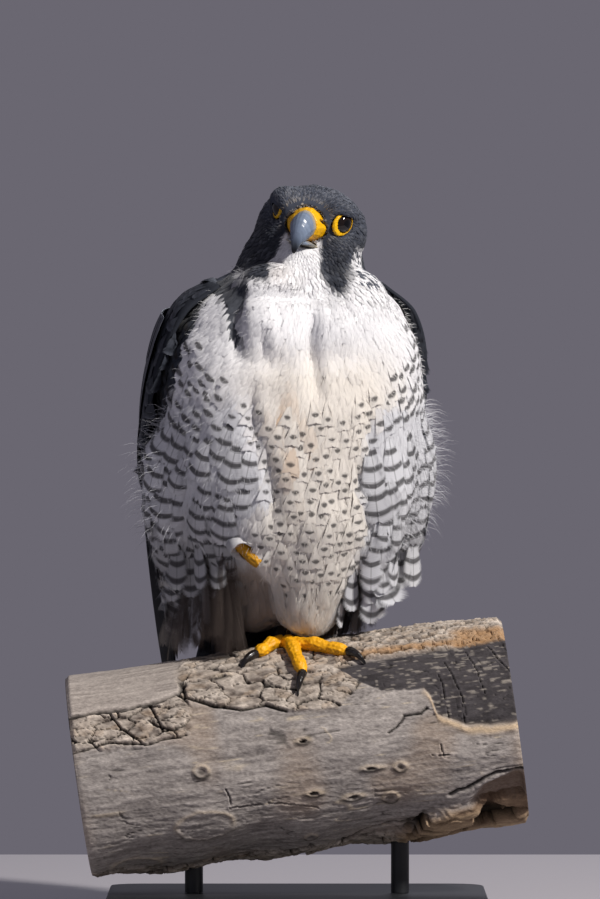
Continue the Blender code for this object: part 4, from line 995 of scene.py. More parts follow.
@dataclass
class Body:
    """The feathered body: one skin in place of the flesh nodes, and its coat."""

    voxel: float = 1.5
    smooth: int = 6
    pattern: Pattern = field(default_factory=Pattern)
    seed: int = 5
    bar_spacing: float = 11.2
    # Angle round the breast, and the height up to which its feathers are marked there
    marked_angles: tuple[float, ...] = (
        *(-110.0, -75.0, -61.0, -49.0, -37.0, -26.0, -14.0, -3.0, 10.0, 24.0, 50.0, 58.0, 110.0),
    )
    marked_heights: tuple[float, ...] = (
        *(222.0, 216.0, 209.0, 189.0, 167.0, 158.0, 156.0, 158.0, 162.0, 175.0, 196.0, 215.0, 222.0),
    )
    # Folds of the fluffed breast: place over the top of the branch, radii, height
    folds: tuple[tuple[tuple[float, float, float], tuple[float, float, float], float], ...] = (
        ((-1.0, -52.0, 246.0), (15.0, 25.0, 10.0), 6.0),
        ((-2.0, -60.0, 231.0), (26.0, 30.0, 4.5), -8.0),
        ((-20.0, -78.0, 212.5), (17.0, 30.0, 15.0), 9.0),
        ((31.0, -74.0, 214.0), (19.0, 30.0, 15.0), 9.5),
        ((10.6, -80.0, 201.0), (4.5, 30.0, 18.0), -11.0),
        ((-20.0, -78.0, 189.0), (20.0, 30.0, 7.5), -3.0),
        ((32.0, -78.0, 191.0), (18.0, 30.0, 7.5), -3.0),
        ((14.0, -78.0, 176.0), (5.0, 30.0, 16.0), -4.5),
        ((-39.0, -70.0, 212.0), (4.5, 30.0, 20.0), -7.0),
        ((-22.0, -74.0, 200.0), (3.5, 30.0, 8.0), -3.5),
        ((-12.0, -78.0, 217.0), (3.5, 30.0, 9.0), -3.5),
        ((22.0, -78.0, 219.0), (3.5, 30.0, 9.0), -3.0),
        ((42.0, -70.0, 204.0), (3.5, 30.0, 9.0), -3.0),
        ((-30.5, -77.7, 150.7), (4.5, 26.0, 14.0), -4.5),
        ((-25.9, -76.7, 135.9), (4.5, 26.0, 14.0), -4.5),
        ((-18.8, -73.7, 117.6), (4.5, 26.0, 14.0), -4.5),
        ((-14.3, -69.0, 96.8), (4.5, 26.0, 14.0), -4.5),
        ((49.0, -55.0, 142.0), (4.0, 26.0, 14.0), -4.0),
        ((42.5, -54.0, 109.6), (4.0, 26.0, 14.0), -4.0),
        ((49.0, -42.0, 83.0), (4.0, 26.0, 14.0), -4.0),
    )

    # The same for the head, in its own frame: the full cheek, the brow and the lores
    head_folds: tuple[tuple[tuple[float, float, float], tuple[float, float, float], float], ...] = (
        ((-31.0, 4.0, -3.0), (10.0, 17.0, 15.0), 5.0),
        ((-31.0, -12.0, 11.5), (6.0, 11.0, 6.0), -3.0),
        ((-25.0, -12.0, 16.0), (7.0, 9.0, 5.0), -1.2),
        ((18.0, -25.0, 4.0), (4.0, 4.5, 7.0), 0.9),
        ((-18.5, -25.0, 4.0), (4.5, 5.0, 8.5), 4.2),
    )

    def build(self) -> None:
        """Builds the skin and grows the coat on it."""
        # Feathers follow a form that runs on over the tucked foot, so that none curls into its hollow
        guide = self.shape("guide", (*FLESH, "foot_right"))
        coat = Coat(Surface(guide), self.pattern)
        bpy.data.objects.remove(guide)
        self.build_skin()
        rng = np.random.default_rng(self.seed)
        self.grow_head(coat, rng)
        self.grow_front(coat, rng)
        self.grow_flanks(coat, rng)
        self.grow_back(coat, rng)
        self.grow_down(coat, rng)

    def depth(self, points: np.ndarray) -> np.ndarray:
        """How far the skin lies under the solids, by the coat's depth."""
        share = self.pattern.head_share(points)
        head = local(points, HEAD_FRAME)
        face = step(-6.0, -22.0, head[:, 1]) * share
        return (3.4 * (1 - share) + 1.5 * share) * (1 - face) + 0.6 * face

    def shape(self, name: str, nodes: tuple[str, ...]) -> bpy.types.Object:
        """The folded form under the coat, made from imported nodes."""
        skin = refined(name, nodes, self.voxel, self.smooth)
        points, normals = vertex_table(skin), normal_table(skin)
        move = -self.depth(points)
        for (x, y, z), radii, height in self.folds:
            move += height * blob(points, (x, y, PERCH_TOP + z), radii)
        for centre, radii, height in self.head_folds:
            move += height * blob(local(points, HEAD_FRAME), centre, radii)
        uneven = 1.1 * noise(points, 22.0, 12) + 0.7 * noise(points, 11.0, 13)
        move += uneven * (1 - self.pattern.head_share(points))
        set_vertices(skin, points + normals * move[:, None])
        apply_modifier(skin, "SMOOTH", factor=0.5, iterations=3)
        return skin

    def build_skin(self) -> None:
        """One closed skin inside the flesh nodes, coloured as its coat."""
        skin = self.shape("plumage_skin", FLESH)
        points = vertex_table(skin)
        slate = self.pattern.slate(points)
        tint = self.pattern.tint(points, slate) * 0.95
        point_values(skin, "tint", "FLOAT_COLOR", np.concatenate([tint, np.ones((len(tint), 1))], axis=1))
        skin.data.materials.append(SKIN.build())
        declare(skin, Slot.WHITE, *FLESH)

    def marked(self, points: np.ndarray) -> np.ndarray:
        """Where the white plumage carries dark marks, from 0 to 1."""
        body = local(points, BODY_FRAME)
        limit = np.interp(round_breast(body), self.marked_angles, self.marked_heights)
        return step(4.0, -6.0, body[:, 2] - limit + 5 * noise(points, 18.0, 21))

    def grow_head(self, coat: Coat, rng: np.random.Generator) -> None:
        """The head's small tight feathers, finest round the bill and eyes."""
        pattern = self.pattern

        def near_face(points: np.ndarray) -> np.ndarray:
            head = local(points, HEAD_FRAME)
            bill = step(40.0, 30.0, np.linalg.norm((head - (0.0, -30.0, -2.0)) * (1.0, 1.0, 1.1), axis=1))
            eyes = [np.linalg.norm(head - (side * 23.0, -18.0, 3.3), axis=1) for side in (1, -1)]
            return np.maximum(bill, step(17.0, 12.0, np.minimum(*eyes))) * pattern.head_share(points)

        def clear(points: np.ndarray) -> np.ndarray:
            head = local(points, HEAD_FRAME)
            # Feathers of the brow come close over the top of the ring round the eye
            free = np.where(head[:, 2] > 5.5, 7.0, 8.2)
            eyes = [np.linalg.norm(head - (side * 25.6, -18.5, 3.3), axis=1) for side in (1, -1)]
            bill = (head[:, 1] > -27.0) | (np.abs(head[:, 0]) > 14.0) | (head[:, 2] > 11.0) | (head[:, 2] < -19.0)
            return (np.minimum(*eyes) > free) * bill

        masks = {
            "face": lambda points: near_face(points) * clear(points),
            "crown": lambda points: (1 - near_face(points)) * pattern.head_share(points),
        }
        for kind in (FACE, CROWN):
            roots, normals = coat.surface.scatter(kind.spacing, masks[kind.name], rng)
            plumes = coat.grow(kind, roots, normals, rng)
            self.streak(plumes, roots, rng)
            declare(coat.mesh(kind, plumes, f"coat_{kind.name}"), kind.slot)

    def streak(self, plumes: Plumes, roots: np.ndarray, rng: np.random.Generator) -> None:
        """Paler and darker single feathers, the palest round the bill."""
        head = local(roots, HEAD_FRAME)
        lores = step(20.0, 7.0, np.abs(np.linalg.norm(head - (0.0, -24.0, 0.0), axis=1) - 14.0)) * (head[:, 2] > -8.0)
        slate = self.pattern.slate(roots)
        pale = (rng.random(len(roots)) < 0.14 + 0.25 * lores) * slate * 0.6
        # Dark feathers streak the pale patch behind the moustache
        cheek = (slate < 0.5) * (np.abs(round_breast(head)) > 55.0) * (head[:, 2] > -33.0)
        cheek = cheek * (rng.random(len(roots)) < 0.3)
        plumes.tints += (linear("#5a5e68") - plumes.tints) * cheek[:, None]
        rim = np.hypot(head[:, 0] / 13.0, (head[:, 2] + 3.0) / 11.5)
        bristle = step(1.5, 1.2, rim) * (head[:, 1] < -14.0) * step(-12.0, -4.0, head[:, 2]) * slate
        plumes.tints += (linear("#a8a29b") - plumes.tints) * (bristle * (0.3 + 0.5 * rng.random(len(roots))))[:, None]
        plumes.tints *= 1 - 0.35 * (slate * rng.random(len(roots)))[:, None]
        plumes.tints += (linear("#8f929b") * 0.75 - plumes.tints) * (pale * (0.35 + 0.35 * lores))[:, None]

    def grow_front(self, coat: Coat, rng: np.random.Generator) -> None:
        """The white bib, the spotted belly and the fluff of the thighs."""
        pattern = self.pattern

        def front(points: np.ndarray) -> np.ndarray:
            dark = pattern.slate(points) * step(-22.0, -10.0, points[:, 1])
            return (1 - pattern.head_share(points)) * (1 - dark) * pattern.off_foot(points)

        def height(points: np.ndarray) -> np.ndarray:
            return local(points, BODY_FRAME)[:, 2]

        masks = {
            "bib": lambda points: front(points) * step(140.0, 170.0, height(points)),
            "belly": lambda points: front(points) * step(176.0, 150.0, height(points)) * step(16.0, 26.0, height(points)),
            "thigh": lambda points: front(points) * np.maximum(step(46.0, 24.0, height(points)), pattern.fluff(points)),
            "spotted": lambda points: front(points)
            * self.marked(points)
            * (1 - pattern.flank(points))
            * (1 - pattern.fluff(points))
            * step(14.0, 26.0, height(points)),
        }
        for kind in (BIB, BELLY, THIGH, SPOTTED):
            roots, normals = coat.surface.scatter(kind.spacing, masks[kind.name], rng)
            halves = np.arange(len(roots)) % 2 if kind in (BIB, BELLY) else np.zeros(len(roots))
            for half in range(int(halves.max()) + 1):
                mine = halves == half
                plumes = coat.grow(kind, roots[mine], normals[mine], rng)
                if kind is SPOTTED:
                    self.spot(plumes, roots[mine], rng)
                # No feather crosses the tucked foot
                apart = pattern.off_foot(plumes.ribs.reshape(-1, 3)).reshape(-1, kind.rows).min(axis=1)
                plumes = plumes.pick(apart > 0.3)
                name = f"coat_{kind.name}" + ("_more" if half else "")
                declare(coat.mesh(kind, plumes, name), kind.slot)

    def spot(self, plumes: Plumes, roots: np.ndarray, rng: np.random.Generator) -> None:
        """Small hearts on the belly that widen to curved dashes at the sides."""
        side = step(22.0, 55.0, np.abs(round_breast(local(roots, BODY_FRAME)) + 10.0))
        count = len(roots)
        from_tip = 3.8 + 1.5 * rng.random(count)
        plumes.marks[:, 1] = 2 * from_tip
        plumes.marks[:, 2] = 1.0
        plumes.forms[:, 0] = 0.36 + 0.6 * side + 0.1 * rng.random(count)
        plumes.forms[:, 1] = 1.35 + 0.5 * rng.random(count) + 0.5 * side
        plumes.forms[:, 2] = 2.0 - 1.2 * side

    def grow_flanks(self, coat: Coat, rng: np.random.Generator) -> None:
        """The long barred flank feathers, and those whose tips hang free below."""
        pattern = self.pattern

        def white_flank(points: np.ndarray) -> np.ndarray:
            tips = pattern.flank(points - (0.0, 0.0, 0.7 * BARRED.length))
            inside = step(0.5, 1.0, pattern.flank(points))
            return np.minimum(inside, tips) * (1 - pattern.slate(points)) * pattern.off_foot(points)

        def rim(points: np.ndarray) -> np.ndarray:
            tips = pattern.flank(points - (0.0, 0.0, 0.6 * HANGING.length))
            body = local(points, BODY_FRAME)
            inner = (np.abs(round_breast(body) + 39.0) < 18.0) * (body[:, 2] < 66.0)
            return np.minimum(pattern.flank(points), tips) * step(76.0, 56.0, body[:, 2]) * (1 - inner) * pattern.off_foot(points)

        def vent(points: np.ndarray) -> np.ndarray:
            body = local(points, BODY_FRAME)
            angle = round_breast(body)
            behind = step(-44.0, -56.0, angle) * step(-73.0, -67.0, points[:, 0]) * step(-38.0, -46.0, points[:, 0])
            behind += step(60.0, 72.0, angle) * step(62.0, 54.0, points[:, 0])
            return behind * step(66.0, 56.0, body[:, 2]) * step(18.0, 28.0, body[:, 2]) * (body[:, 1] > -34.0)

        for kind, mask, rows in ((BARRED, white_flank, 1.3), (HANGING, rim, 2.0), (VENT, vent, 1.2)):
            roots, normals = coat.surface.scatter(kind.spacing, mask, rng, rows)
            plumes = coat.grow(kind, roots, normals, rng)
            if kind is VENT:
                # Vent feathers dark brown-grey: partly their own colour, partly painted shade
                plumes.tints = plumes.tints * 0.1 + linear("#423b38") * 0.9 * (plumes.tints / plumes.tints.mean())
            else:
                self.bar(plumes)
            declare(coat.mesh(kind, plumes, f"coat_{kind.name}"), kind.slot)

    def bar(self, plumes: Plumes) -> None:
        """Bars whose heights agree from feather to feather, so that they read as bands."""
        tips = local(plumes.ribs[:, -1], BODY_FRAME)
        around = np.abs(np.arctan2(tips[:, 0], -tips[:, 1])) * 88.0
        field_height = tips[:, 2] * 0.95 - around * 0.30 + 2.0 * noise(plumes.ribs[:, -1], 30.0, 33)
        plumes.marks[:, 1] = self.bar_spacing
        plumes.marks[:, 2] = 40.0 + np.mod(field_height, self.bar_spacing) / self.bar_spacing
        plumes.forms[:, 0] = 2.0
        plumes.forms[:, 1] = 2.0
        plumes.forms[:, 2] = 4.0

    def grow_back(self, coat: Coat, rng: np.random.Generator) -> None:
        """Mantle, scapulars and rump between the wings."""
        pattern = self.pattern

        def back(points: np.ndarray) -> np.ndarray:
            return pattern.slate(points) * (1 - pattern.head_share(points)) * step(-22.0, -10.0, points[:, 1])

        roots, normals = coat.surface.scatter(MANTLE.spacing, back, rng)
        plumes = coat.grow(MANTLE, roots, normals, rng)
        plumes.marks[:, 1] = 7.5
        plumes.marks[:, 2] = 3.0
        plumes.forms[:, 0] = 0.85
        plumes.forms[:, 1] = 0.55
        plumes.forms[:, 2] = 2.0
        declare(coat.mesh(MANTLE, plumes, "coat_mantle"), MANTLE.slot)

    def grow_down(self, coat: Coat, rng: np.random.Generator) -> None:
        """Loose fine barbs that stand off the flanks, and a thin fuzz on all the white plumage."""
        pattern = self.pattern

        def tousled(points: np.ndarray) -> np.ndarray:
            body = local(points, BODY_FRAME)
            angle = round_breast(body)
            right = step(-82.0, -96.0, angle) * step(-136.0, -122.0, angle)
            left = step(52.0, 64.0, angle) * step(102.0, 88.0, angle)
            high = step(56.0, 84.0, body[:, 2]) * step(160.0, 134.0, body[:, 2])
            return (right + left) * high * (1 - pattern.slate(points))

        def fuzzy(points: np.ndarray) -> np.ndarray:
            return (1 - pattern.slate(points)) * (1 - pattern.head_share(points))

        wisps = []
        for mask, spacing, length, stand in ((tousled, 2.4, 13.0, 1.0), (fuzzy, 2.8, 4.6, 0.42)):
            roots, normals = coat.surface.scatter(spacing, mask, rng)
            way = pattern.lie(roots, normals)
            count = len(roots)
            size = length * (0.5 + rng.random(count))[:, None]
            aim = unit(way * (1.1 - stand) + normals * stand + 0.35 * rng.normal(size=(count, 3)))
            side = unit(np.cross(aim, normals + 0.01))
            base = roots + normals * 2.2
            middle = base + aim * size * 0.55
            tip = middle + unit(aim + 0.7 * way) * size * 0.45
            wisps.append((base, middle, tip, side, pattern.tint(roots, pattern.slate(roots)), coat.unwrap(roots)))
        base, middle, tip, side, tint, places = (np.concatenate(columns) for columns in zip(*wisps))
        thin = 0.09
        points = np.stack(
            [base - side * thin, base + side * thin, middle + side * thin * 0.8, middle - side * thin * 0.8, tip], axis=1
        )
        count = len(base)
        pattern_faces = np.array([(0, 1, 2), (0, 2, 3), (3, 2, 4)])
        faces = (pattern_faces[None] + (np.arange(count) * 5)[:, None, None]).reshape(-1, 3)
        made = make_object("coat_down", points.reshape(-1, 3), faces, DOWN.build())
        spread = np.repeat(np.arange(count), 5)
        colours = np.concatenate([np.clip(tint * 1.04, 0, 1), np.ones((count, 1))], axis=1)
        point_values(made, "tint", "FLOAT_COLOR", colours[spread])
        along = np.tile([0.0, 0.0, 0.5, 0.5, 1.0], count)[:, None]
        corner_map(made, "OFBake", places[spread] + along * (0.0, coat.patch))
        declare(made, Slot.WHITE)


# Wings and tail


@dataclass(frozen=True)
class Tier:
    """One row of quills or coverts across the wing: shares of its length, places across it, sizes."""

    name: str
    count: int
    width: float
    root: float
    tips: tuple[float, float]
    roots_across: tuple[float, float]
    tips_across: tuple[float, float]
    lift: float
    tint: str
    pointed: float = 0.0


TIERS = (
    Tier("primaries", 9, 17.5, 0.42, (1.00, 0.70), (0.20, 0.80), (0.40, 0.86), -0.4, "#282a31", 0.7),
    Tier("secondaries", 11, 15.5, 0.35, (0.54, 0.69), (0.14, 0.90), (0.14, 0.90), 0.5, "#30333b", 0.25),
    Tier("greater_coverts", 11, 14.5, 0.21, (0.40, 0.47), (0.12, 0.91), (0.12, 0.91), -0.4, "#353841", 0.15),
    Tier("median_coverts", 12, 13.0, 0.13, (0.25, 0.29), (0.11, 0.91), (0.11, 0.91), -0.9, "#393c46"),
)


def eased(keys: list[float], values: np.ndarray, at: float) -> np.ndarray:
    """Smooth value through the keys, with slopes taken from the neighbours."""
    at = min(max(at, keys[0]), keys[-1])
    i = min(max(int(np.searchsorted(keys, at)) - 1, 0), len(keys) - 2)
    span = keys[i + 1] - keys[i]
    u = (at - keys[i]) / span

    def slope(k: int) -> np.ndarray:
        low, high = max(k - 1, 0), min(k + 1, len(keys) - 1)
        return (values[high] - values[low]) / (keys[high] - keys[low]) * span

    return (
        (2 * u**3 - 3 * u**2 + 1) * values[i]
        + (u**3 - 2 * u**2 + u) * slope(i)
        + (3 * u**2 - 2 * u**3) * values[i + 1]
        + (u**3 - u**2) * slope(i + 1)
    )


@dataclass
class QuillSet:
    """Thin closed vanes gathered for one piece."""

    columns: int = 7
    rows: int = 12
    thickness: float = 0.5
    points: list[np.ndarray] = field(default_factory=list)
    coords: list[np.ndarray] = field(default_factory=list)
    tints: list[np.ndarray] = field(default_factory=list)
    marks: list[tuple[float, ...]] = field(default_factory=list)
    forms: list[tuple[float, ...]] = field(default_factory=list)

    def outline(self, share: float, pointed: float) -> float:
        """Share of the full width at a share of the length: round-tipped or pointed."""
        base = min(1.0, 0.5 + 1.6 * share)
        blunt = math.sqrt(max(0.0, 1 - max(0.0, (share - 0.72) / 0.28) ** 2))
        sharp = 1 - 0.35 * share - 0.65 * share**3.4
        return base * max(blunt * (1 - pointed) + sharp * pointed, 0.02)

    def add_vane(self, ribs: np.ndarray, across: np.ndarray, ups: np.ndarray, width: float, camber: float, pointed: float) -> float:
        """Adds one vane.

        Args:
            ribs: Points of its midrib.
            across: Directions across it at those points.
            ups: Directions off its upper face.
            width: Its full width.
            camber: How much it arches.
            pointed: 0 for a round tip and 1 for a sharp one.

        Returns:
            The vane's length.
        """
        shares = np.linspace(0.0, 1.0, self.rows)
        us = np.linspace(-1.0, 1.0, self.columns)
        wide = np.array([self.outline(share, pointed) for share in shares])
        thick = self.thickness * (1 - 0.5 * shares)
        rise = camber * (1 - us**2)
        faces = []
        for hand in (0.5, -0.5):
            offset = across[:, None, :] * (us[None, :, None] * (wide * width / 2)[:, None, None])
            height = rise[None, :] + (thick * hand)[:, None] * (1 - 0.6 * np.abs(us) ** 3)[None, :]
            faces.append(ribs[:, None, :] + offset + ups[:, None, :] * height[:, :, None])
        self.points.append(np.stack(faces).reshape(-1, 3))
        grid = np.stack(np.meshgrid(shares, us, indexing="ij"), axis=-1).reshape(-1, 2)[:, ::-1]
        self.coords.append(np.concatenate([grid, grid]))
        return float(np.linalg.norm(np.diff(ribs, axis=0), axis=1).sum())

    def dress(self, tint: np.ndarray, mark: tuple[float, ...], form: tuple[float, ...]) -> None:
        """Gives the last vane its tint and cross marks."""
        self.tints.append(tint)
        self.marks.append(mark)
        self.forms.append(form)

    def faces(self) -> np.ndarray:
        """The corners of one vane's faces, all facing out."""
        rows, columns = self.rows, self.columns
        under = rows * columns
        quads = []
        for i in range(rows - 1):
            for j in range(columns - 1):
                a, b, c, d = i * columns + j, i * columns + j + 1, (i + 1) * columns + j + 1, (i + 1) * columns + j
                quads += [(a, b, c, d), (under + a, under + d, under + c, under + b)]
            for j, flip in ((0, True), (columns - 1, False)):
                a, d = i * columns + j, (i + 1) * columns + j
                side = (a, d, under + d, under + a)
                quads.append(side if flip else side[::-1])
        for i, flip in ((0, False), (rows - 1, True)):
            for j in range(columns - 1):
                a, b = i * columns + j, i * columns + j + 1
                end = (a, under + a, under + b, b)
                quads.append(end[::-1] if flip else end)
        return np.array(quads)

    def build(self, name: str, finish: Finish, places: np.ndarray) -> bpy.types.Object:
        """Joins the vanes in one piece.

        Args:
            name: The piece's name.
            finish: Its finish.
            places: Where each vane lies on the map for baking.

        Returns:
            The piece.
        """
        each = 2 * self.rows * self.columns
        count = len(self.points)
        quads = (self.faces()[None] + (np.arange(count) * each)[:, None, None]).reshape(-1, 4)
        made = make_object(name, np.concatenate(self.points), quads, finish.build())
        spread = np.repeat(np.arange(count), each)
        tints = np.concatenate([np.array(self.tints), np.ones((count, 1))], axis=1)
        point_values(made, "tint", "FLOAT_COLOR", np.clip(tints, 0, 1)[spread])
        point_values(made, "marks", "FLOAT_VECTOR", np.array(self.marks, float)[spread])
        point_values(made, "mark_form", "FLOAT_VECTOR", np.array(self.forms, float)[spread])
        coords = np.concatenate(self.coords)
        corner_map(made, "Feather", coords * (0.5, 1.0) + (0.5, 0.0))
        corner_map(made, "OFBake", places[spread] + (coords * (0.5, 1.0) + (0.5, 0.0)) * 0.003)
        choose(made)
        bpy.ops.object.shade_smooth_by_angle(angle=math.radians(35.0))
        return made


@dataclass
class WingPattern(Pattern):
    """Tints and lie of the small coverts on a folded wing."""

    def tint(self, points: np.ndarray, slate: np.ndarray) -> np.ndarray:
        """Dark slate, a little uneven."""
        return linear("#383c45") * (1 + 0.16 * noise(points, 12.0, 42)[:, None]) + 0 * slate[:, None]

    def lie(self, points: np.ndarray, normals: np.ndarray) -> np.ndarray:
        """Down and back along the folded wing."""
        flow = np.array(BODY_FRAME.to_3x3()) @ np.array([0.0, 0.45, -0.9]) + 0 * points
        return unit(flow - normals * (flow * normals).sum(axis=1, keepdims=True))


@dataclass
class Wing:
    """One folded wing: its arm and every quill and covert."""

    name: str
    side: int
    sway: float
    # How much lower the shoulder's small coverts lie
    sink: float = 0.0
    bulge: float = 19.0
    edge_depth: float = 2.5
    middle_depth: float = 8.0
    arm_end: float = 0.5
    shingle: float = 1.3
    seed: int = 41
    # Share of the length, front edge, back edge, in the frame of the breast
    stations: tuple[tuple[float, ...], ...] = (
        (0.00, 64.0, -14.0, 235.0, 28.0, 34.0, 238.0),
        (0.10, 86.0, -14.0, 216.0, 28.0, 56.0, 222.0),
        (0.25, 97.0, -4.0, 178.0, 22.0, 74.0, 184.0),
        (0.42, 96.0, 16.0, 130.0, 12.0, 86.0, 136.0),
        (0.58, 87.0, 34.0, 84.0, 6.0, 93.0, 88.0),
        (0.72, 76.0, 54.0, 40.0, 4.0, 100.0, 44.0),
        (0.86, 60.0, 80.0, -10.0, 5.0, 110.0, -6.0),
        (1.00, 36.0, 114.0, -70.0, 10.0, 124.0, -72.0),
    )

    def point(self, share: float, across: float, lift: float = 0.0) -> np.ndarray:
        """A point of the wing's outer face, or over it by lift, in the frame of the breast."""
        keys = [row[0] for row in self.stations]
        row = eased(keys, np.array([row[1:] for row in self.stations]), share)
        front, back = row[:3], row[3:]
        chord = back - front
        out = unit(np.cross(unit(np.array([0.0, 0.45, -0.9])), chord))
        out = -out if out[0] + out[1] < 0 else out
        arch = self.bulge * (np.linalg.norm(chord) / 90.0) * 4 * across * (1 - across)
        spot = front + chord * across + out * (arch + lift)
        shift = self.sway * max(0.0, share - 0.2) ** 1.2
        return np.array([self.side * spot[0] + shift, spot[1], spot[2]])

    def depth(self, across: float) -> float:
        """Thickness of the wing's arm at a place across it."""
        return self.edge_depth + (self.middle_depth - self.edge_depth) * math.sin(math.pi * min(max(across, 0), 1))

    def vane(self, quills: QuillSet, tier: Tier, u: float, rng: np.random.Generator) -> None:
        """Adds one quill of a tier, u of the way across the wing."""
        change = 1 + 0.05 * rng.uniform(-1, 1)
        root_across = tier.roots_across[0] + (tier.roots_across[1] - tier.roots_across[0]) * u
        tip_across = tier.tips_across[0] + (tier.tips_across[1] - tier.tips_across[0]) * u
        tip_across += 0.006 * rng.normal()
        tip = tier.tips[0] + (tier.tips[1] - tier.tips[0]) * u
        tip = tier.root + (tip - tier.root) * (change if u > 0.02 else 1.0)
        start = np.array([tier.root, root_across, -0.35 * self.depth(root_across)])
        end = np.array([tip, tip_across, tier.lift])
        shares = np.linspace(0.0, 1.0, quills.rows)
        bent = 1 - (1 - shares) ** 2.2
        places = [
            (start[0] + (end[0] - start[0]) * s, start[1] + (end[1] - start[1]) * s, start[2] + (end[2] - start[2]) * b)
            for s, b in zip(shares, bent)
        ]
        ribs = np.array([self.point(*place) for place in places])
        chords = np.array([self.point(s, a + 0.02) - self.point(s, a - 0.02) for s, a, _ in places])
        along = unit(np.gradient(ribs, axis=0))
        ups = unit(np.cross(along, chords)) * -self.side
        off = np.array([self.point(s, a, 1.0) - self.point(s, a, 0.0) for s, a, _ in places])
        ups *= np.sign((ups * off).sum(axis=1, keepdims=True))
        across = unit(np.cross(ups, along))
        across *= np.sign((across * chords).sum(axis=1, keepdims=True))
        width = tier.width * change
        tilt = self.shingle / width
        tilted = unit(across - ups * tilt)
        raised = unit(ups + across * tilt)
        length = quills.add_vane(ribs, tilted * self.hand(), raised, width, 0.5, tier.pointed)
        shade = linear(tier.tint) * (1 + 0.12 * rng.normal())
        quills.dress(shade, (length, 9.0, 0.0), (0.8, 0.5, 2.0))

    def hand(self) -> float:
        """Keeps the vanes' faces outward on either side."""
        return -float(self.side)

    def build(self) -> None:
        """Builds the arm and the quills."""
        rng = np.random.default_rng(self.seed)
        quills = QuillSet()
        for tier in TIERS:
            for k in range(tier.count):
                self.vane(quills, tier, k / (tier.count - 1), rng)
        quills.points = [outer(points, BODY_FRAME) for points in quills.points]
        count = len(quills.points)
        places = np.stack([np.linspace(0.02, 0.97, count), np.full(count, 0.2 + 0.4 * (self.side > 0))], axis=1)
        made = quills.build(self.name + "_quills", QUILL, places)
        declare(made, Slot.FLIGHT, self.name)
        self.build_arm()

    def build_arm(self) -> None:
        """The wing's arm, and the small coverts that grow on it."""
        rings = []
        sides = np.linspace(0.0, 1.0, 26)
        for share in np.linspace(0.005, self.arm_end, 40):
            lift = -3.4 + 1.2 * share / self.arm_end - self.sink * (1 - min(1.0, share / 0.3))
            outside = [self.point(share, a, lift) for a in sides]
            inside = [self.point(share, a, lift - 1.0 - self.depth(a)) for a in sides[::-1]]
            rings.append(outside + inside)
        table = outer(np.array(rings).reshape(-1, 3), BODY_FRAME)
        points, faces = closed_tube(table.reshape(len(rings), -1, 3), flip=self.side < 0)
        made = make_object(self.name + "_arm", points, faces, SKIN.build())
        face_outward(made)
        declare(made, Slot.FLIGHT)
        coat = Coat(Surface(made), WingPattern())
        dark = np.tile([*linear("#2c2f36"), 1.0], (len(points), 1))
        point_values(made, "tint", "FLOAT_COLOR", dark)
        rng = np.random.default_rng(self.seed + 1)

        def upper(places: np.ndarray) -> np.ndarray:
            return step(140.0, 152.0, local(places, BODY_FRAME)[:, 2])

        roots, normals = coat.surface.scatter(COVERT.spacing, upper, rng)
        middle = outer(np.array([[self.side * 46.0, 20.0, 190.0]]), BODY_FRAME)
        out = (normals * (roots - middle) * (1.0, 1.0, 0.3)).sum(axis=1) > 0
        plumes = coat.grow(COVERT, roots[out], normals[out], rng)
        plumes.marks[:, 1:] = (7.5, 2.0)
        plumes.forms[:] = (0.85, 0.5, 2.0)
        declare(coat.mesh(COVERT, plumes, f"coat_{self.name}_coverts"), COVERT.slot)


def closed_tube(rings: np.ndarray, flip: bool = False) -> tuple[np.ndarray, np.ndarray]:
    """Points and triangles of a tube through rings, with a fan over each end."""
    count, each, _ = rings.shape
    points = np.concatenate([rings.reshape(-1, 3), rings[0].mean(axis=0)[None], rings[-1].mean(axis=0)[None]])
    first = np.arange(count * each).reshape(count, each)
    a, b = first[:-1].ravel(), np.roll(first, -1, axis=1)[:-1].ravel()
    tube = np.concatenate([np.stack([a, b, b + each], axis=1), np.stack([a, b + each, a + each], axis=1)])
    rim = np.arange(each)
    after = (rim + 1) % each
    end = (count - 1) * each
    start_fan = np.stack([rim, np.full(each, count * each), after], axis=1)
    end_fan = np.stack([end + rim, end + after, np.full(each, count * each + 1)], axis=1)
    table = np.concatenate([tube, start_fan, end_fan])
    return points, table[:, ::-1] if flip else table


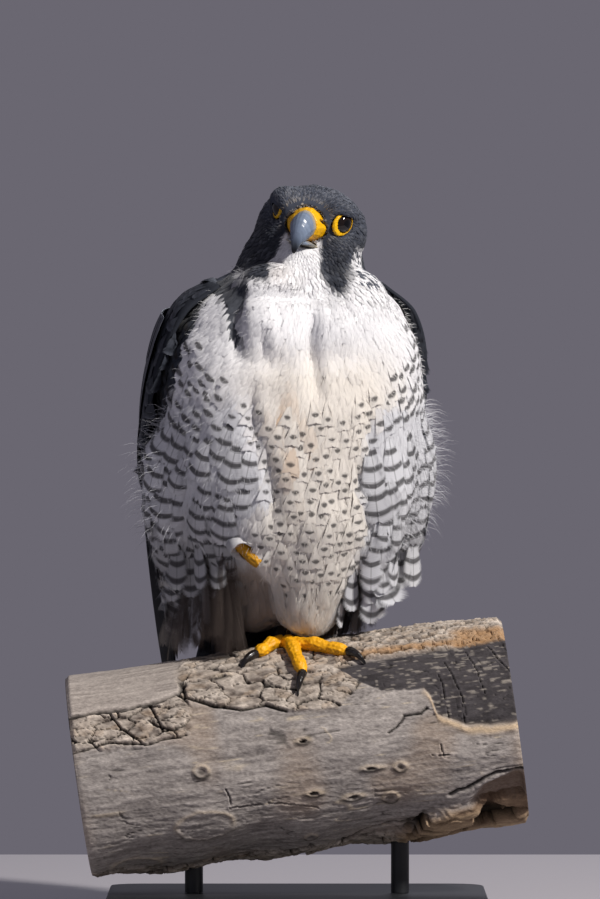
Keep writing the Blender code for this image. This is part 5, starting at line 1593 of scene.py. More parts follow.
@dataclass
class Tail:
    """The closed tail: twelve quills, the middle pair on top."""

    root: tuple[float, float, float] = (-10.0, 66.0, 44.0)
    tip: tuple[float, float, float] = (-18.0, 126.0, -100.0)
    pairs: int = 6
    width: float = 14.0
    step_root: float = 1.1
    step_tip: float = 4.3
    drop: float = 1.45
    seed: int = 7

    def build(self) -> None:
        """Builds the quills."""
        rng = np.random.default_rng(self.seed)
        quills = QuillSet(rows=18)
        root, tip = np.array(self.root), np.array(self.tip)
        along = unit(tip - root)
        across = unit(np.array([1.0, 0.0, 0.0]) - along * along[0])
        up = np.cross(across, along)
        up = -up if up[1] < 0 else up
        shares = np.linspace(0.0, 1.0, quills.rows)
        for pair in range(self.pairs):
            for side in (1, -1):
                reach = 1.0 - 0.006 * pair * pair + 0.01 * rng.uniform(-1, 1)
                level = self.drop * (pair - 1 if pair == 0 and side > 0 else pair)
                at = shares * reach
                spread = self.step_root + (self.step_tip - self.step_root) * at**0.8
                wide = np.array([quills.outline(share, 0.1) for share in shares])
                x = side * (self.width * wide / 2 + 0.5 + spread * (pair - 1)) if pair else side * 1.7 + 0 * at
                opened = 0.25 + 0.75 * np.minimum(1.0, at * 4)
                ribs = root + (tip - root) * at[:, None] + across * x[:, None] - up * (level * opened)[:, None]
                ones = np.ones((len(shares), 1))
                roll = 0.012 * side * pair
                sides, ups = unit(across - up * roll) * ones, unit(up + across * roll) * ones
                length = quills.add_vane(ribs, sides, ups, self.width, 0.35, 0.1)
                shade = linear("#3c414b") * (1 + 0.08 * rng.normal())
                quills.dress(shade, (length, 10.5, 12.0), (1.05, 1.5, 1.6))
        quills.points = [outer(points, BODY_FRAME) for points in quills.points]
        count = len(quills.points)
        places = np.stack([np.linspace(0.05, 0.95, count), np.full(count, 0.8)], axis=1)
        declare(quills.build("tail_quills", QUILL, places), Slot.FLIGHT, "tail")


# Face and feet


@dataclass
class Face:
    """Eyes, lids, cere and bill."""

    eye_centre: tuple[float, float, float] = (18.6, -14.2, 3.3)
    eye_radius: float = 8.2
    eye_spread: float = math.radians(58.0)
    pupil: float = math.radians(20.0)
    iris: float = math.radians(46.0)
    nostril: tuple[float, float, float] = (10.9, -26.6, 1.4)

    def eye_frame(self, side: int) -> Matrix:
        """Frame of one eye, its Z along the line of sight; side is 1 for the bird's left."""
        x, y, z = self.eye_centre
        aim = Matrix.Rotation(side * self.eye_spread, 4, "Z") @ Matrix.Rotation(math.radians(90.0), 4, "X")
        return HEAD_FRAME @ Matrix.Translation((side * x, y, z)) @ aim

    def build(self) -> None:
        """Builds every piece of the face."""
        for side, word in ((1, "left"), (-1, "right")):
            self.build_eye(side, word)
            self.build_lids(side, word)
        self.build_cere()
        self.build_bill()

    def build_eye(self, side: int, word: str) -> None:
        """A dark glossy eye with a slight cornea."""
        place = self.eye_frame(side)
        bpy.ops.object.select_all(action="DESELECT")
        bpy.ops.mesh.primitive_uv_sphere_add(
            segments=64, ring_count=48, radius=self.eye_radius * MM, location=place.translation * MM, rotation=place.to_euler()
        )
        eye = bpy.context.view_layer.objects.active
        eye.name = eye.data.name = f"eyeball_{word}"
        bpy.ops.object.transform_apply(location=True, rotation=True, scale=True)
        bpy.ops.object.shade_smooth()
        seen = local(vertex_table(eye), place)
        off = np.arccos(np.clip(seen[:, 2] / np.linalg.norm(seen, axis=1), -1, 1))
        seen *= (1 + 0.05 * step(self.iris, 0.0, off))[:, None]
        set_vertices(eye, outer(seen, place))
        # Very dark brown round the black pupil
        rays = 0.25 * noise(np.stack([np.arctan2(seen[:, 1], seen[:, 0]) * 9, off * 6], axis=1), 1.0, 51)
        iris = step(self.pupil - 0.03, self.pupil + 0.04, off) * step(self.iris, self.iris - 0.1, off)
        tint = linear("#030304") + (linear("#170d08") * (1 + rays[:, None])) * iris[:, None]
        self.colour(eye, tint, EYE_WET)
        declare(eye, Slot.EYE, f"eye_{word}")

    def build_lids(self, side: int, word: str) -> None:
        """The bare yellow ring, its inner rim dark and wet."""
        lids = refined(f"lids_{word}", (f"eye_ring_{word}",), 0.32, 3)
        points = vertex_table(lids)
        seen = local(points, self.eye_frame(side))
        reach = np.linalg.norm(seen[:, :2], axis=1)
        wrinkles = noise(np.stack([np.arctan2(seen[:, 1], seen[:, 0]) * 14, reach], axis=1), 1.0, 52)
        way = unit(seen[:, :2] * (-side, 1.0))
        corner = np.maximum(0.0, way @ (0.82, -0.57)) ** 2 * step(5.8, 7.6, reach)
        seen = seen + unit(seen * (1.0, 1.0, 0.0)) * ((1.7 if side > 0 else -0.9) * corner)[:, None]
        set_vertices(lids, outer(seen, self.eye_frame(side)) + normal_table(lids) * (0.16 * wrinkles)[:, None])
        rim = step(5.9, 5.5, reach)[:, None]
        front = step(-2.0, 5.0, -side * seen[:, 0])[:, None]
        tint = linear("#d8a400") * (1 - front) + linear("#f2bb0c") * front
        tint = tint * (1 + 0.1 * wrinkles[:, None]) * (1 - rim) + linear("#1c1208") * rim
        self.colour(lids, tint, WAX)
        declare(lids, Slot.YELLOW, f"eye_ring_{word}")

    def build_cere(self) -> None:
        """The waxy cere with its slit nostrils."""
        cere = refined("cere_skin", ("cere",), 0.4, 4)
        points = vertex_table(cere)
        head = local(points, HEAD_FRAME)
        x, y, z = self.nostril
        reach = np.linalg.norm((np.abs(head[:, :1]) - x, head[:, 1:2] - y), axis=0)[:, 0]
        slit = np.exp(-((reach / 2.6) ** 2) - ((head[:, 2] - z + 0.35 * (head[:, 1] - y)) / 1.15) ** 2)
        swelling = np.exp(-(((reach - 1.0) / 4.0) ** 2) - ((head[:, 2] - z) / 3.6) ** 2)
        folds = 0.22 * noise(head, 2.4, 53)
        set_vertices(cere, points + normal_table(cere) * (0.7 * swelling - 1.9 * slit + folds)[:, None])
        # Painted shade: the nostrils' openings near-black
        nostril_shade = step(0.35, 0.6, slit)[:, None]
        low = step(-6.0, -12.0, head[:, 2])[:, None]
        tint = (linear("#f0b40a") * (1 - low) + linear("#d99a1c") * low) * (1 + 0.12 * noise(head, 3.0, 54)[:, None])
        self.colour(cere, tint * (1 - nostril_shade) + linear("#2a1804") * nostril_shade, WAX)
        declare(cere, Slot.YELLOW, "cere")

    def build_bill(self) -> None:
        """Blue-grey horn that darkens to the tip, yellower at its root."""
        for name, root, tip, voxel in (("bill_upper", -33.0, -20.0, 0.35), ("bill_lower", -24.0, -40.0, 0.4)):
            horn = refined(name + "_horn", (name,), voxel, 4)
            points = vertex_table(horn)
            head = local(points, HEAD_FRAME)
            bands = noise(np.stack([head[:, 1] * 0.9 + head[:, 2] * 0.5, head[:, 0] * 0.2], axis=1), 1.1, 55)
            hook = step(-8.0, -19.0, head[:, 2]) * (name == "bill_upper")
            shaped = head * np.stack([1 - 0.22 * hook, 1 + 0 * hook, 1 + 0 * hook], axis=1)
            shaped[:, 2] -= 4.2 * hook
            if name == "bill_lower":
                # The bill is shut: the lower half fills the upper one's edge
                shaped[:, 2] += 1.3 * step(-24.0, -30.0, head[:, 1])
            set_vertices(horn, outer(shaped, HEAD_FRAME) + normal_table(horn) * (0.09 * bands)[:, None])
            if name == "bill_upper":
                dark = step(-9.0, -18.0, head[:, 2] + 0.6 * bands)[:, None]
                pale = step(root - 3.0, root, head[:, 1])[:, None]
                edge = step(-10.0, -13.0, head[:, 2] - 0.45 * (head[:, 1] + 36.0))[:, None] * (1 - dark)
            else:
                dark = step(-34.5, -39.0, head[:, 1])[:, None]
                pale = 1.1 * step(-37.0, root, head[:, 1])[:, None]
                edge = 0 * dark
            tint = linear("#78869b") * (1 + 0.12 * bands[:, None])
            tint = tint * (1 - 0.3 * edge) + linear("#b8b39a") * 0.3 * edge
            tint = tint * (1 - 0.45 * pale) + linear("#c7b06a") * 0.45 * pale
            self.colour(horn, tint * (1 - dark) + linear("#15161a") * dark, BILL_HORN)
            declare(horn, Slot.HORN, name)

    @staticmethod
    def colour(obj: bpy.types.Object, tint: np.ndarray, finish: Finish) -> None:
        """Stores a colour for each vertex and sets the finish."""
        table = np.concatenate([np.clip(tint, 0, 1), np.ones((len(tint), 1))], axis=1)
        point_values(obj, "tint", "FLOAT_COLOR", table)
        obj.data.materials.clear()
        obj.data.materials.append(finish.build())


@dataclass
class Feet:
    """The standing foot, its claws and what shows of the tucked foot."""

    scale_size: float = 2.1
    scale_depth: float = 0.65

    def build(self) -> None:
        """Builds feet and claws."""
        for name in ("foot_left", "foot_right"):
            self.build_foot(name)
        for k in range(1, 5):
            self.build_claw(f"claw_left_{k}")

    def build_foot(self, name: str) -> None:
        """Yellow toes covered with raised scales."""
        foot = refined(name + "_skin", (name,), 0.45, 5)
        pattern = bpy.data.textures.new(name + "_scales", "VORONOI")
        pattern.noise_scale = self.scale_size * MM
        apply_modifier(
            foot, "DISPLACE", texture=pattern, texture_coords="LOCAL", strength=-self.scale_depth * MM, mid_level=0.4
        )
        bpy.data.textures.remove(pattern)
        points = vertex_table(foot)
        if name == "foot_right":
            points = points + (-1.5, 2.5, 1.5)
            set_vertices(foot, points)
        soft = noise(points, 7.0, 61)[:, None]
        grain = noise(points, 1.6, 62)[:, None]
        # Painted shade: toes a third darker where they face down, and the tucked foot darker all over
        under = step(0.2, -0.6, normal_table(foot)[:, 2])[:, None]
        tint = linear("#f0ac0c") * (1 + 0.14 * soft + 0.10 * grain)
        Face.colour(foot, tint * (1 - 0.35 * under) * (0.7 if name == "foot_right" else 1.0), TOE_SKIN)
        declare(foot, Slot.YELLOW, name)

    def build_claw(self, name: str) -> None:
        """A glossy black claw, browner at its root."""
        claw = refined(name + "_horn", (name,), 0.3, 4)
        points = vertex_table(claw)
        lines = noise(points * (1.0, 1.0, 0.3), 0.9, 63)
        set_vertices(claw, points + normal_table(claw) * (0.05 * lines)[:, None])
        high = step(0.0, 9.0, points[:, 2] - points[:, 2].min())[:, None]
        tint = linear("#0b0b0d") * (1 - 0.5 * high) + linear("#2a2420") * 0.5 * high
        Face.colour(claw, tint * (1 + 0.15 * lines[:, None]), CLAW_HORN)
        declare(claw, Slot.CLAW, name)


# Branch and stand


@dataclass
class Log:
    """The cut length of dead branch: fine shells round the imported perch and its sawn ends."""

    along_steps: int = 350
    front_steps: int = 271
    back_steps: int = 231
    cap_rings: int = 26
    end_depth: float = 1.0
    # Angles from the top where the front and back shells meet, and where the bark's pattern wraps
    joints: tuple[float, float] = (math.radians(-30.0), math.radians(165.0))
    wrap: float = math.radians(210.0)
    # Long cracks: half width, then places along the branch and round it from the top
    cracks: tuple[tuple[float, tuple[tuple[float, float], ...]], ...] = (
        (1.3, ((-152.0, 58.5), (-106.0, 58.3), (-88.0, 57.0), (-71.0, 53.0), (-67.0, 46.0))),
        (1.0, ((-68.0, 50.0), (-67.7, 56.6), (-49.5, 66.5), (-32.8, 71.9), (-15.4, 71.3), (-3.4, 76.6))),
        (0.7, ((-155.0, 87.5), (-121.0, 81.0), (-96.0, 86.0), (-70.0, 84.0))),
        (0.7, ((-118.0, 60.0), (-112.0, 72.0), (-100.0, 84.0))),
        (0.8, ((-92.0, 58.0), (-88.0, 68.0), (-84.0, 80.0))),
        (0.4, ((133.5, 46.0), (139.0, 60.0), (146.4, 72.2), (146.7, 104.9))),
        (0.35, ((104.0, 56.0), (106.6, 64.8), (111.5, 84.2), (110.6, 105.8))),
        (0.3, ((99.0, 66.0), (100.3, 73.1), (100.9, 98.4))),
        (0.3, ((118.0, 48.0), (124.0, 66.0), (127.0, 84.0))),
        (0.8, ((61.0, 101.0), (66.3, 98.2), (72.0, 90.9), (83.9, 91.3), (87.7, 87.7))),
        (0.35, ((93.5, 113.0), (93.5, 121.0))),
        (0.3, ((87.0, 119.5), (99.0, 119.5))),
        (0.9, ((33.0, 44.5), (60.0, 41.5), (84.0, 40.0))),
        (0.4, ((-50.0, 122.0), (-47.0, 130.0), (-48.0, 137.0))),
        (0.4, ((-48.0, 137.0), (-23.6, 138.0), (-5.5, 141.5), (9.0, 146.0))),
        (1.5, ((96.0, 150.0), (112.0, 144.0), (126.0, 139.0), (150.0, 137.0))),
        (1.2, ((10.0, 200.0), (38.0, 176.0), (56.0, 170.0), (78.0, 178.0), (96.0, 186.0))),
    )
    # Scars of twigs: along, round, half length, half height, how deep the middle lies
    scars: tuple[tuple[float, ...], ...] = (
        (-63.2, 109.3, 5.0, 4.6, 0.6),
        (56.5, 146.8, 5.6, 5.2, 0.5),
        (65.3, 124.3, 4.2, 3.6, 0.7),
        (33.0, 141.5, 6.5, 2.8, 1.0),
        (46.9, 123.0, 6.0, 1.8, 1.0),
        (4.9, 98.6, 4.6, 2.4, 2.0),
        (8.0, 135.0, 5.0, 2.4, 2.2),
        (-42.4, 43.1, 5.4, 2.6, 2.6),
        (0.8, 171.0, 4.4, 4.4, 0.4),
        (-66.0, 147.0, 20.0, 12.0, 0.1),
        (-114.0, 180.0, 17.0, 8.0, 0.1),
    )
    groove: tuple[tuple[float, ...], ...] = ((-152.0, -106.0, -88.0, -71.0), (58.5, 58.3, 57.0, 53.0))
    plates_end: tuple[tuple[float, ...], ...] = (
        (-68.0, -49.5, -32.8, -15.4, -3.4, 30.0, 46.0),
        (56.6, 66.5, 71.9, 71.3, 76.6, 81.0, 66.0),
    )
    char_top: tuple[tuple[float, ...], ...] = ((33.0, 56.0, 116.0, 157.0), (49.0, 47.0, 43.6, 41.0))
    char_end: tuple[tuple[float, ...], ...] = (
        (33.0, 47.6, 59.7, 79.6, 88.0, 91.2, 94.0, 111.6, 127.8, 156.0),
        (49.0, 63.0, 72.7, 73.6, 74.0, 80.0, 93.0, 103.0, 106.0, 103.5),
    )

    def radius(self, along: np.ndarray, around: np.ndarray) -> np.ndarray:
        """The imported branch's own radius."""
        away = np.clip((np.abs(along) - 55.0) / 60.0, 0.0, 1.0)
        swell = 1.6 * np.sin(0.021 * along + 1.1) + 1.2 * np.sin(2 * around + 0.03 * along)
        ragged = 1.8 * np.maximum(0.0, -np.cos(around)) * np.sin(3 * around + 0.08 * along)
        return PERCH_RADIUS + away * swell + ragged

    def surface(self, a: np.ndarray, around: np.ndarray) -> tuple[np.ndarray, np.ndarray]:
        """Relief and colour of the branch.

        Args:
            a: Distance along its axis.
            around: Angle from the top, growing to the front.

        Returns:
            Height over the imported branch, and linear colours.
        """
        s = around * PERCH_RADIUS
        place = np.stack([a, np.sin(around) * PERCH_RADIUS, np.cos(around) * PERCH_RADIUS], axis=1)
        rough = noise(place, 14.0, 70) + 0.5 * noise(place, 5.0, 71) + 0.3 * noise(place, 2.2, 72)
        spot = np.stack([a + rough, s + rough], axis=1)
        height, colour = self.grey_wood(place)
        groove = np.interp(a, *self.groove)
        ridge = step(-64.0, -72.0, a + 3 * rough) * step(groove + 1.0, groove - 1.0, s) * step(-34.0, -22.0, s + 5 * rough)
        height, colour = self.lay(height, colour, ridge, *self.smooth_wood(place))
        end = np.interp(a, *self.plates_end)
        plates = step(-72.0, -66.0, a + 3 * rough) * step(52.0, 40.0, a + 6 * rough)
        plates *= step(-16.0, -4.0, s + 5 * rough) * step(end + 1.0, end - 1.0, s + rough)
        band = step(-62.0, -70.0, a) * step(groove, groove + 1.0, s) * step(87.0, 81.0, s + 2 * rough)
        height, colour = self.lay(height, colour, np.maximum(plates, band), *self.bark(spot, place, (21.0, 10.0), 82))
        strip = step(28.0, 38.0, a + 3 * rough) * step(46.0, 43.0, s + rough) * step(-14.0, -6.0, s + 4 * rough)
        height, colour = self.lay(height, colour, strip, *self.bark(spot, place, (9.0, 4.0), 86))
        bare = strip * np.exp(-(((s - 39.5) / 3.2) ** 2)) + strip * step(106.0, 118.0, a + 4 * rough) * step(20.0, 30.0, s)
        colour = blend(colour * (1 - 0.2 * bare[:, None]), "#b08a62", 0.75 * np.clip(bare, 0, 1))
        low = np.interp(a, *self.char_end)
        top = np.interp(a, *self.char_top)
        char = step(top - 1.0, top + 1.0, s + 0.6 * rough) * step(low + 1.0, low - 1.0, s + 1.5 * rough) * step(30.0, 35.0, a)
        height, colour = self.lay(height, colour, char, *self.charred(place))
        pale = step(84.0, 92.0, a) * np.exp(-(((s + 1.2 * rough - low - 3.2) / 2.6) ** 2))
        colour = blend(colour, "#cdb595", 0.85 * pale)
        height += 0.8 * pale
        torn = step(54.0, 68.0, a + 7 * rough) * step(160.0, 168.0, s + 6 * rough) * step(250.0, 236.0, s)
        rim = step(182.0, 192.0, s + 5 * rough) * step(240.0, 230.0, s)
        back = step(-20.0, -34.0, s + 8 * rough) * step(-174.0, -160.0, s)
        height, colour = self.lay(height, colour, np.maximum(rim, back), *self.bark(spot, place, (21.0, 9.0), 90))
        height, colour = self.lay(height, colour, torn, *self.torn_bark(spot, place))
        hollow = step(1.0, 0.75, np.hypot((a - 140.0) / 34.0, (s - 164.0) / 25.0) + 0.12 * rough)
        height -= 5.0 * hollow
        colour = blend(colour, "#6d5848", 0.75 * hollow)
        height, colour = self.scarred(spot, height, colour)
        return np.clip(height, -7.0, 6.0), colour

    def scarred(self, spot: np.ndarray, height: np.ndarray, colour: np.ndarray) -> tuple[np.ndarray, np.ndarray]:
        """Adds the long cracks and the scars of twigs."""
        for x, y, long, high, deep in self.scars:
            off = np.hypot((spot[:, 0] - x) / long, (spot[:, 1] - y) / high)
            edge = np.exp(-(((off - 0.95) * min(long, high) / 1.1) ** 2))
            pit = step(0.62, 0.3, off) * deep
            height = height + 0.9 * edge - 1.5 * pit + 0.5 * step(1.0, 0.8, off)
            # Painted light on the twig scars: the rim pale along its upper edge as a painted highlight, darkened below
            # on small scars as a painted shadow, and the pit near-black as painted shade
            under = edge * step(-0.2, 0.5, (spot[:, 1] - y) / high)
            colour = blend(colour, "#c9b79d", 0.45 * edge * (1 - under))
            colour = colour * (1 - 0.75 * under * step(25.0, 8.0, np.full(len(off), long)))[:, None]
            colour = colour * (1 - 0.85 * np.clip(pit, 0, 1))[:, None]
        for width, line in self.cracks:
            away = np.full(len(spot), 99.0)
            for start, stop in zip(line[:-1], line[1:]):
                low, run = np.array(start), np.array(stop) - np.array(start)
                share = np.clip(((spot - low) @ run) / (run @ run), 0.0, 1.0)
                away = np.minimum(away, np.linalg.norm(spot - low - share[:, None] * run, axis=1))
            crack = step(1.25 * width, 0.3 * width, away)
            lip = np.exp(-(((away - 2.2 * width) / 1.0) ** 2))
            # The cracks are painted near-black as their shade, their raised lips paler
            height = height - 2.2 * crack + 0.3 * lip
            colour = colour * (1 + 0.15 * lip - 0.92 * crack)[:, None]
        return height, colour

    @staticmethod
    def lay(
        height: np.ndarray, colour: np.ndarray, share: np.ndarray, over: np.ndarray, tint: np.ndarray
    ) -> tuple[np.ndarray, np.ndarray]:
        """Lays one surface over another by its share."""
        return height * (1 - share) + over * share, colour * (1 - share[:, None]) + tint * share[:, None]

    @staticmethod
    def toned(tone: np.ndarray, dark: str, pale: str) -> np.ndarray:
        """Colours between a dark and a pale one."""
        return blend(np.tile(linear(dark), (len(tone), 1)), pale, np.clip(tone, 0, 1))

    def grey_wood(self, place: np.ndarray) -> tuple[np.ndarray, np.ndarray]:
        """Weathered grey wood with fine grain, pale and dark lines along it."""
        grain = noise(place / (26.0, 2.6, 2.6), 1.0, 73)
        fine = noise(place / (6.0, 1.1, 1.1), 1.0, 74)
        speck = noise(place / (1.7, 0.95, 0.95), 1.0, 75)
        wave = layered(place / (2.2, 1.0, 1.0), 15.0, 3, 76)
        pale = step(0.06, 0.0, np.abs(noise(place / (46.0, 6.0, 6.0), 1.0, 79))) * step(0.0, 0.4, noise(place, 11.0, 80))
        dark = step(0.06, 0.0, np.abs(noise(place / (34.0, 4.5, 4.5), 1.0, 81))) * step(0.2, 0.5, noise(place, 13.0, 82))
        height = 0.3 * grain + 0.28 * fine + 0.18 * speck + 0.8 * wave + 0.4 * pale - 0.9 * dark
        tint = self.toned(0.48 + 0.15 * grain + 0.17 * fine + 0.18 * speck + 0.08 * wave, "#5b5553", "#c9c1ba")
        tint = blend(tint, "#a38b72", 0.35 * step(0.0, 0.7, noise(place, 30.0, 83)))
        tint = blend(tint, "#d6c6ab", 0.55 * pale)
        return height, tint * (1 - 0.65 * dark[:, None])

    def smooth_wood(self, place: np.ndarray) -> tuple[np.ndarray, np.ndarray]:
        """A bare rubbed ridge, higher than what lies round it."""
        lines = noise(place / (20.0, 1.6, 1.6), 1.0, 78)
        speck = noise(place / (2.4, 0.9, 0.9), 1.0, 84)
        return 1.5 + 0.22 * lines + 0.12 * speck, self.toned(0.52 + 0.2 * lines + 0.16 * speck, "#6b625e", "#cfc5bb")

    def bark(
        self, spot: np.ndarray, place: np.ndarray, size: tuple[float, float], seed: int
    ) -> tuple[np.ndarray, np.ndarray]:
        """Flat angular plates of uneven height, with narrow cracks and hairlines darkened as painted shade."""
        shift = np.stack([noise(place, 8.0, seed), noise(place, 8.0, seed + 1)], axis=1)
        shift += 0.35 * np.stack([noise(place, 2.0, seed + 2), noise(place, 2.0, seed + 3)], axis=1)
        border, value = cells((spot + 1.8 * shift) / size, seed, 0.98)
        small, piece = cells((spot + 1.6 * shift) / (size[0] * 0.42, size[1] * 0.45), seed + 3, 0.98)
        width = 0.075 + 0.06 * noise(place, 12.0, seed + 6)
        crack = step(width, 0.3 * width, border)
        hair = step(0.09, 0.02, small) * step(0.35, 0.65, value * 0.6 + piece * 0.5)
        grain = layered(place / (2.0, 1.0, 1.0), 2.6, 3, seed + 5)
        height = 0.4 + 2.2 * value + 0.5 * piece + 0.7 * grain - 3.0 * crack - 0.8 * hair
        tint = self.toned(0.52 + 0.3 * (value - 0.5) + 0.2 * (piece - 0.5) + 0.45 * grain, "#655b54", "#d8ccbe")
        tint = blend(tint, "#a98f72", 0.3 * step(0.5, 0.9, piece))
        # Painted shade in the cracks and hairlines
        return height, tint * (1 - 0.93 * crack[:, None]) * (1 - 0.75 * hair[:, None])

    def charred(self, place: np.ndarray) -> tuple[np.ndarray, np.ndarray]:
        """Smooth charcoal-dark wood with pale flecks."""
        lines = noise(place / (9.0, 2.0, 2.0), 1.0, 85)
        fleck = step(0.35, 0.7, noise(place / (3.4, 1.2, 1.2), 1.0, 86) + 0.3 * noise(place, 14.0, 87))
        check = step(0.05, 0.0, np.abs(noise(place / (5.0, 12.0, 12.0), 1.0, 88))) * step(0.0, 0.4, noise(place, 10.0, 89))
        tint = self.toned(0.4 + 0.3 * lines, "#2f2c2d", "#5b5759")
        # Checks darkened as painted shade
        return -0.6 + 0.2 * lines + 0.2 * fleck - 0.8 * check, blend(tint, "#a39b91", 0.6 * fleck) * (1 - 0.7 * check)[:, None]

    def torn_bark(self, spot: np.ndarray, place: np.ndarray) -> tuple[np.ndarray, np.ndarray]:
        """Ragged loose bark over hollows painted near-black as their shade."""
        shift = np.stack([noise(place, 12.0, 92), noise(place, 12.0, 93)], axis=1)
        border, value = cells((spot + 6.0 * shift) / (25.0, 15.0), 94, 0.98)
        layers = layered(place / (2.4, 1.0, 1.0), 6.0, 4, 95)
        on = step(0.38, 0.46, value + 0.16 * layers) * step(0.02, 0.12, border + 0.06 * layers)
        height = -5.0 + on * (6.5 + 3.0 * value + 1.4 * layers)
        tint = self.toned(0.45 + 0.4 * layers, "#6a5646", "#c7ad8d")
        # Where the bark has gone the hollow is painted near-black, a painted shade
        return height, tint * (on * 0.94 + 0.06)[:, None]

    def cap(self, ring: np.ndarray, outward: float) -> tuple[list[np.ndarray], list[np.ndarray]]:
        """Rings of a sawn end with its growth rings and cracks, from the edge to the middle."""
        middle = ring.mean(axis=0)
        angles = np.linspace(0, 2 * math.pi, len(ring), endpoint=False)
        rings, tints = [], []
        for k in range(1, self.cap_rings):
            share = 1 - k / self.cap_rings
            points = middle + (ring - middle) * share
            growth = k % 2
            ray = noise(np.stack([np.cos(angles) * 2.1 + 7 + 0.3 * share, np.sin(angles) * 2.1], axis=1), 1.0, 96)
            split = step(0.05, 0.01, np.abs(ray) * max(share, 0.25)) * step(0.95, 0.5, np.full(len(ring), share))
            points[:, 0] -= outward * (0.5 * growth + 1.2 * split + 0.2)
            wood = linear("#a98d6c") * (0.72 + 0.3 * growth) if share < 0.93 else linear("#57493f")
            rings.append(points)
            # Splits darkened as painted shade
            tints.append(np.tile(wood, (len(ring), 1)) * (1 - 0.7 * split[:, None]))
        return rings, tints

    def relief(self, steps: np.ndarray, angles: np.ndarray) -> tuple[np.ndarray, np.ndarray]:
        """Points and colours of the bark.

        Args:
            steps: Places along the branch, one ring for each.
            angles: Angles round it from the top.

        Returns:
            The rings' points, and linear colours.
        """
        angles = np.where(angles >= self.wrap, angles - 2 * math.pi, angles)
        along, around = (table.ravel() for table in np.meshgrid(steps, angles, indexing="ij"))
        height, colour = self.surface(along, around)
        end = step(PERCH_LENGTH / 2, PERCH_LENGTH / 2 - 3.0, np.abs(along))
        radius = self.radius(along, around) + height * end - 0.6 * (1 - end)
        table = np.stack([along, -np.sin(around) * radius, np.cos(around) * radius], axis=1)
        return table.reshape(len(steps), -1, 3), colour.reshape(len(steps), -1, 3)

    def build(self) -> None:
        """Builds a front and a back shell and two sawn ends, each closed."""
        finish = WOOD.build()
        start, stop = self.joints
        front = np.linspace(start, stop, self.front_steps)
        back = np.linspace(stop, start + 2 * math.pi, self.back_steps)
        half = PERCH_LENGTH / 2
        steps = np.linspace(self.end_depth - half, half - self.end_depth, self.along_steps)
        for name, angles in (("front", front), ("back", back)):
            self.build_piece(f"branch_{name}", *self.relief(steps, angles), finish, True)
        angles = np.concatenate([front[:-1], back[:-1]])
        for name, side in (("left", 1.0), ("right", -1.0)):
            rings, tints = self.relief(side * np.array([half - self.end_depth, half]), angles)
            cap, cap_tints = self.cap(rings[-1], side)
            rings, tints = np.concatenate([rings, cap]), np.concatenate([tints, cap_tints])
            self.build_piece(f"branch_end_{name}", rings, tints, finish, False)

    def build_piece(
        self, name: str, rings: np.ndarray, tints: np.ndarray, finish: bpy.types.Material, split: bool
    ) -> None:
        """One closed piece, its hidden faces kept from the shading of the bark.

        Args:
            name: The piece's name.
            rings: Its rings of points.
            tints: Their linear colours.
            finish: The wood.
            split: Whether the rings are arcs, closed by a hidden flat face.
        """
        points, faces = closed_tube(rings)
        made = make_object(name, outer(points, PERCH_FRAME), faces, finish)
        face_outward(made)
        count, each, _ = rings.shape
        pairs = np.empty(len(made.data.edges) * 2, dtype=np.int32)
        made.data.edges.foreach_get("vertices", pairs)
        rows, columns = np.divmod(pairs.reshape(-1, 2), each)
        rims = (rows[:, 0] == rows[:, 1]) & np.isin(rows[:, 0], (0, count - 1))
        joints = (columns[:, 0] == columns[:, 1]) & np.isin(columns[:, 0], (0, each - 1)) & split
        made.data.attributes.new("sharp_edge", "BOOLEAN", "EDGE").data.foreach_set("value", rims | joints)
        table = np.ones((len(points), 4))
        table[:-2, :3] = np.clip(tints.reshape(-1, 3), 0, 1)
        table[-2:, :3] = linear("#6b5138")
        point_values(made, "tint", "FLOAT_COLOR", table)
        declare(made, Slot.BARK, "perch")


@dataclass
class Stand:
    """The display stand: a rounded base plate and two rods."""

    rod_radius: float = 6.0
    rod_offset: float = 68.0
    base_top: float = 12.0
    edge: float = 1.2

    def build(self) -> None:
        """Rounds the base plate's edges and turns smoother rods."""
        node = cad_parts["stand_base"]
        choose(node)
        bpy.ops.object.duplicate()
        base = bpy.context.view_layer.objects.active
        base.name = base.data.name = "stand_plate"
        base.parent = None
        for key in list(base.keys()):
            del base[key]
        base.data.materials.clear()
        base.data.materials.append(STEEL.build())
        apply_modifier(base, "WELD", merge_threshold=0.01 * MM)
        apply_modifier(base, "BEVEL", width=self.edge * MM, segments=4, limit_method="ANGLE")
        choose(base)
        bpy.ops.object.shade_smooth_by_angle(angle=math.radians(40.0))
        declare(base, Slot.STEEL, "stand_base")
        for side, word in ((-1, "right"), (1, "left")):
            x = side * self.rod_offset
            axis = PERCH_AXIS_HEIGHT + x * math.tan(PERCH_SLOPE)
            top = axis - PERCH_RADIUS / math.cos(PERCH_SLOPE) + 6.0
            low = self.base_top + 0.35
            bpy.ops.object.select_all(action="DESELECT")
            bpy.ops.mesh.primitive_cylinder_add(
                vertices=48,
                radius=self.rod_radius * MM,
                depth=(top - low) * MM,
                location=(x * MM, 0.0, (top + low) / 2 * MM),
            )
            rod = bpy.context.view_layer.objects.active
            rod.name = rod.data.name = f"stand_post_{word}"
            bpy.ops.object.transform_apply(location=True, rotation=True, scale=True)
            bpy.ops.object.shade_smooth_by_angle(angle=math.radians(40.0))
            rod.data.materials.append(STEEL.build())
            declare(rod, Slot.STEEL, f"stand_rod_{word}")


# Studio


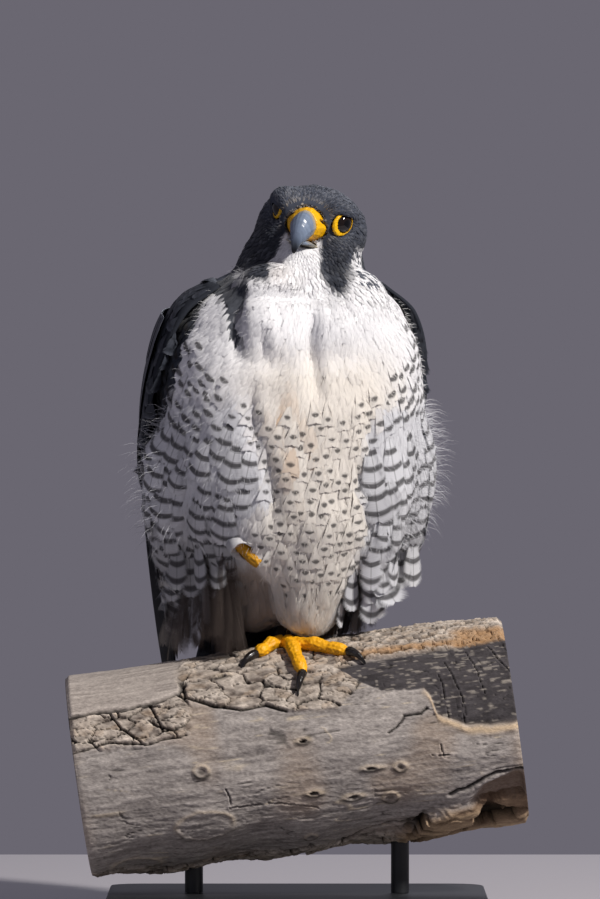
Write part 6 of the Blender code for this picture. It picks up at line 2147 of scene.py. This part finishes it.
@dataclass
class Studio:
    """Pale floor, soft light and the camera at the photo's angle."""

    target: tuple[float, float, float] = (2.0, 0.0, PERCH_TOP + 129.0)
    distance: float = 5000.0
    elevation: float = math.radians(0.5)
    lens: float = 303.5
    floor_half: float = 600.0
    backdrop: str = "#6a6771"

    def build(self) -> None:
        """Sets the stage."""
        bpy.ops.object.select_all(action="DESELECT")
        bpy.ops.mesh.primitive_plane_add(size=2 * self.floor_half * MM, location=(0, 0, 0))
        floor = bpy.context.view_layer.objects.active
        floor.name = floor.data.name = "floor"
        floor.data.materials.append(FLOOR.build())
        world = bpy.data.worlds.new("studio")
        world.use_nodes = True
        world.node_tree.nodes["Background"].inputs["Color"].default_value = rgba(self.backdrop)
        world.node_tree.nodes["Background"].inputs["Strength"].default_value = 1.0
        bpy.context.scene.world = world
        bpy.context.scene.view_settings.view_transform = "Standard"
        self.light("key", (2000.0, -1800.0, 2300.0), 132.0, 0.3, "#fffaf5")
        self.light("fill", (-2200.0, -2600.0, 1300.0), 4.0, 1.8, "#dfe6ff")
        self.light("rim", (900.0, 2200.0, 2000.0), 16.0, 1.0, "#eef2ff")
        self.camera()

    def light(self, name: str, place: tuple[float, float, float], power: float, size: float, tone: str) -> None:
        """One square area light aimed at the bird."""
        bpy.ops.object.light_add(type="AREA", location=Vector(place) * MM)
        lamp = bpy.context.view_layer.objects.active
        lamp.name = name
        lamp.data.energy = power
        lamp.data.size = size
        lamp.data.color = tuple(linear(tone))
        aim = Vector(self.target) * MM - lamp.location
        lamp.rotation_euler = aim.to_track_quat("-Z", "Y").to_euler()

    def camera(self) -> None:
        """The photo's view: level with the bird, from far off."""
        bpy.ops.object.camera_add()
        camera = bpy.context.view_layer.objects.active
        camera.name = "camera"
        away = Vector((0.0, -math.cos(self.elevation), math.sin(self.elevation)))
        camera.location = (Vector(self.target) + away * self.distance) * MM
        camera.rotation_euler = (-away).to_track_quat("-Z", "Y").to_euler()
        camera.data.lens = self.lens
        camera.data.sensor_width = 36.0
        bpy.context.scene.camera = camera


def main() -> None:
    """Dresses the whole model and sets the stage."""
    logging.basicConfig(level=logging.INFO, format="%(message)s")
    Body().build()
    for name, side, sway, sink in (("wing_left", 1, -16.0, 1.0), ("wing_right", -1, -15.0, 6.0)):
        Wing(name, side, sway, sink).build()
    Tail().build()
    Face().build()
    Feet().build()
    Log().build()
    Stand().build()
    Studio().build()


if __name__ == "__main__":
    main()
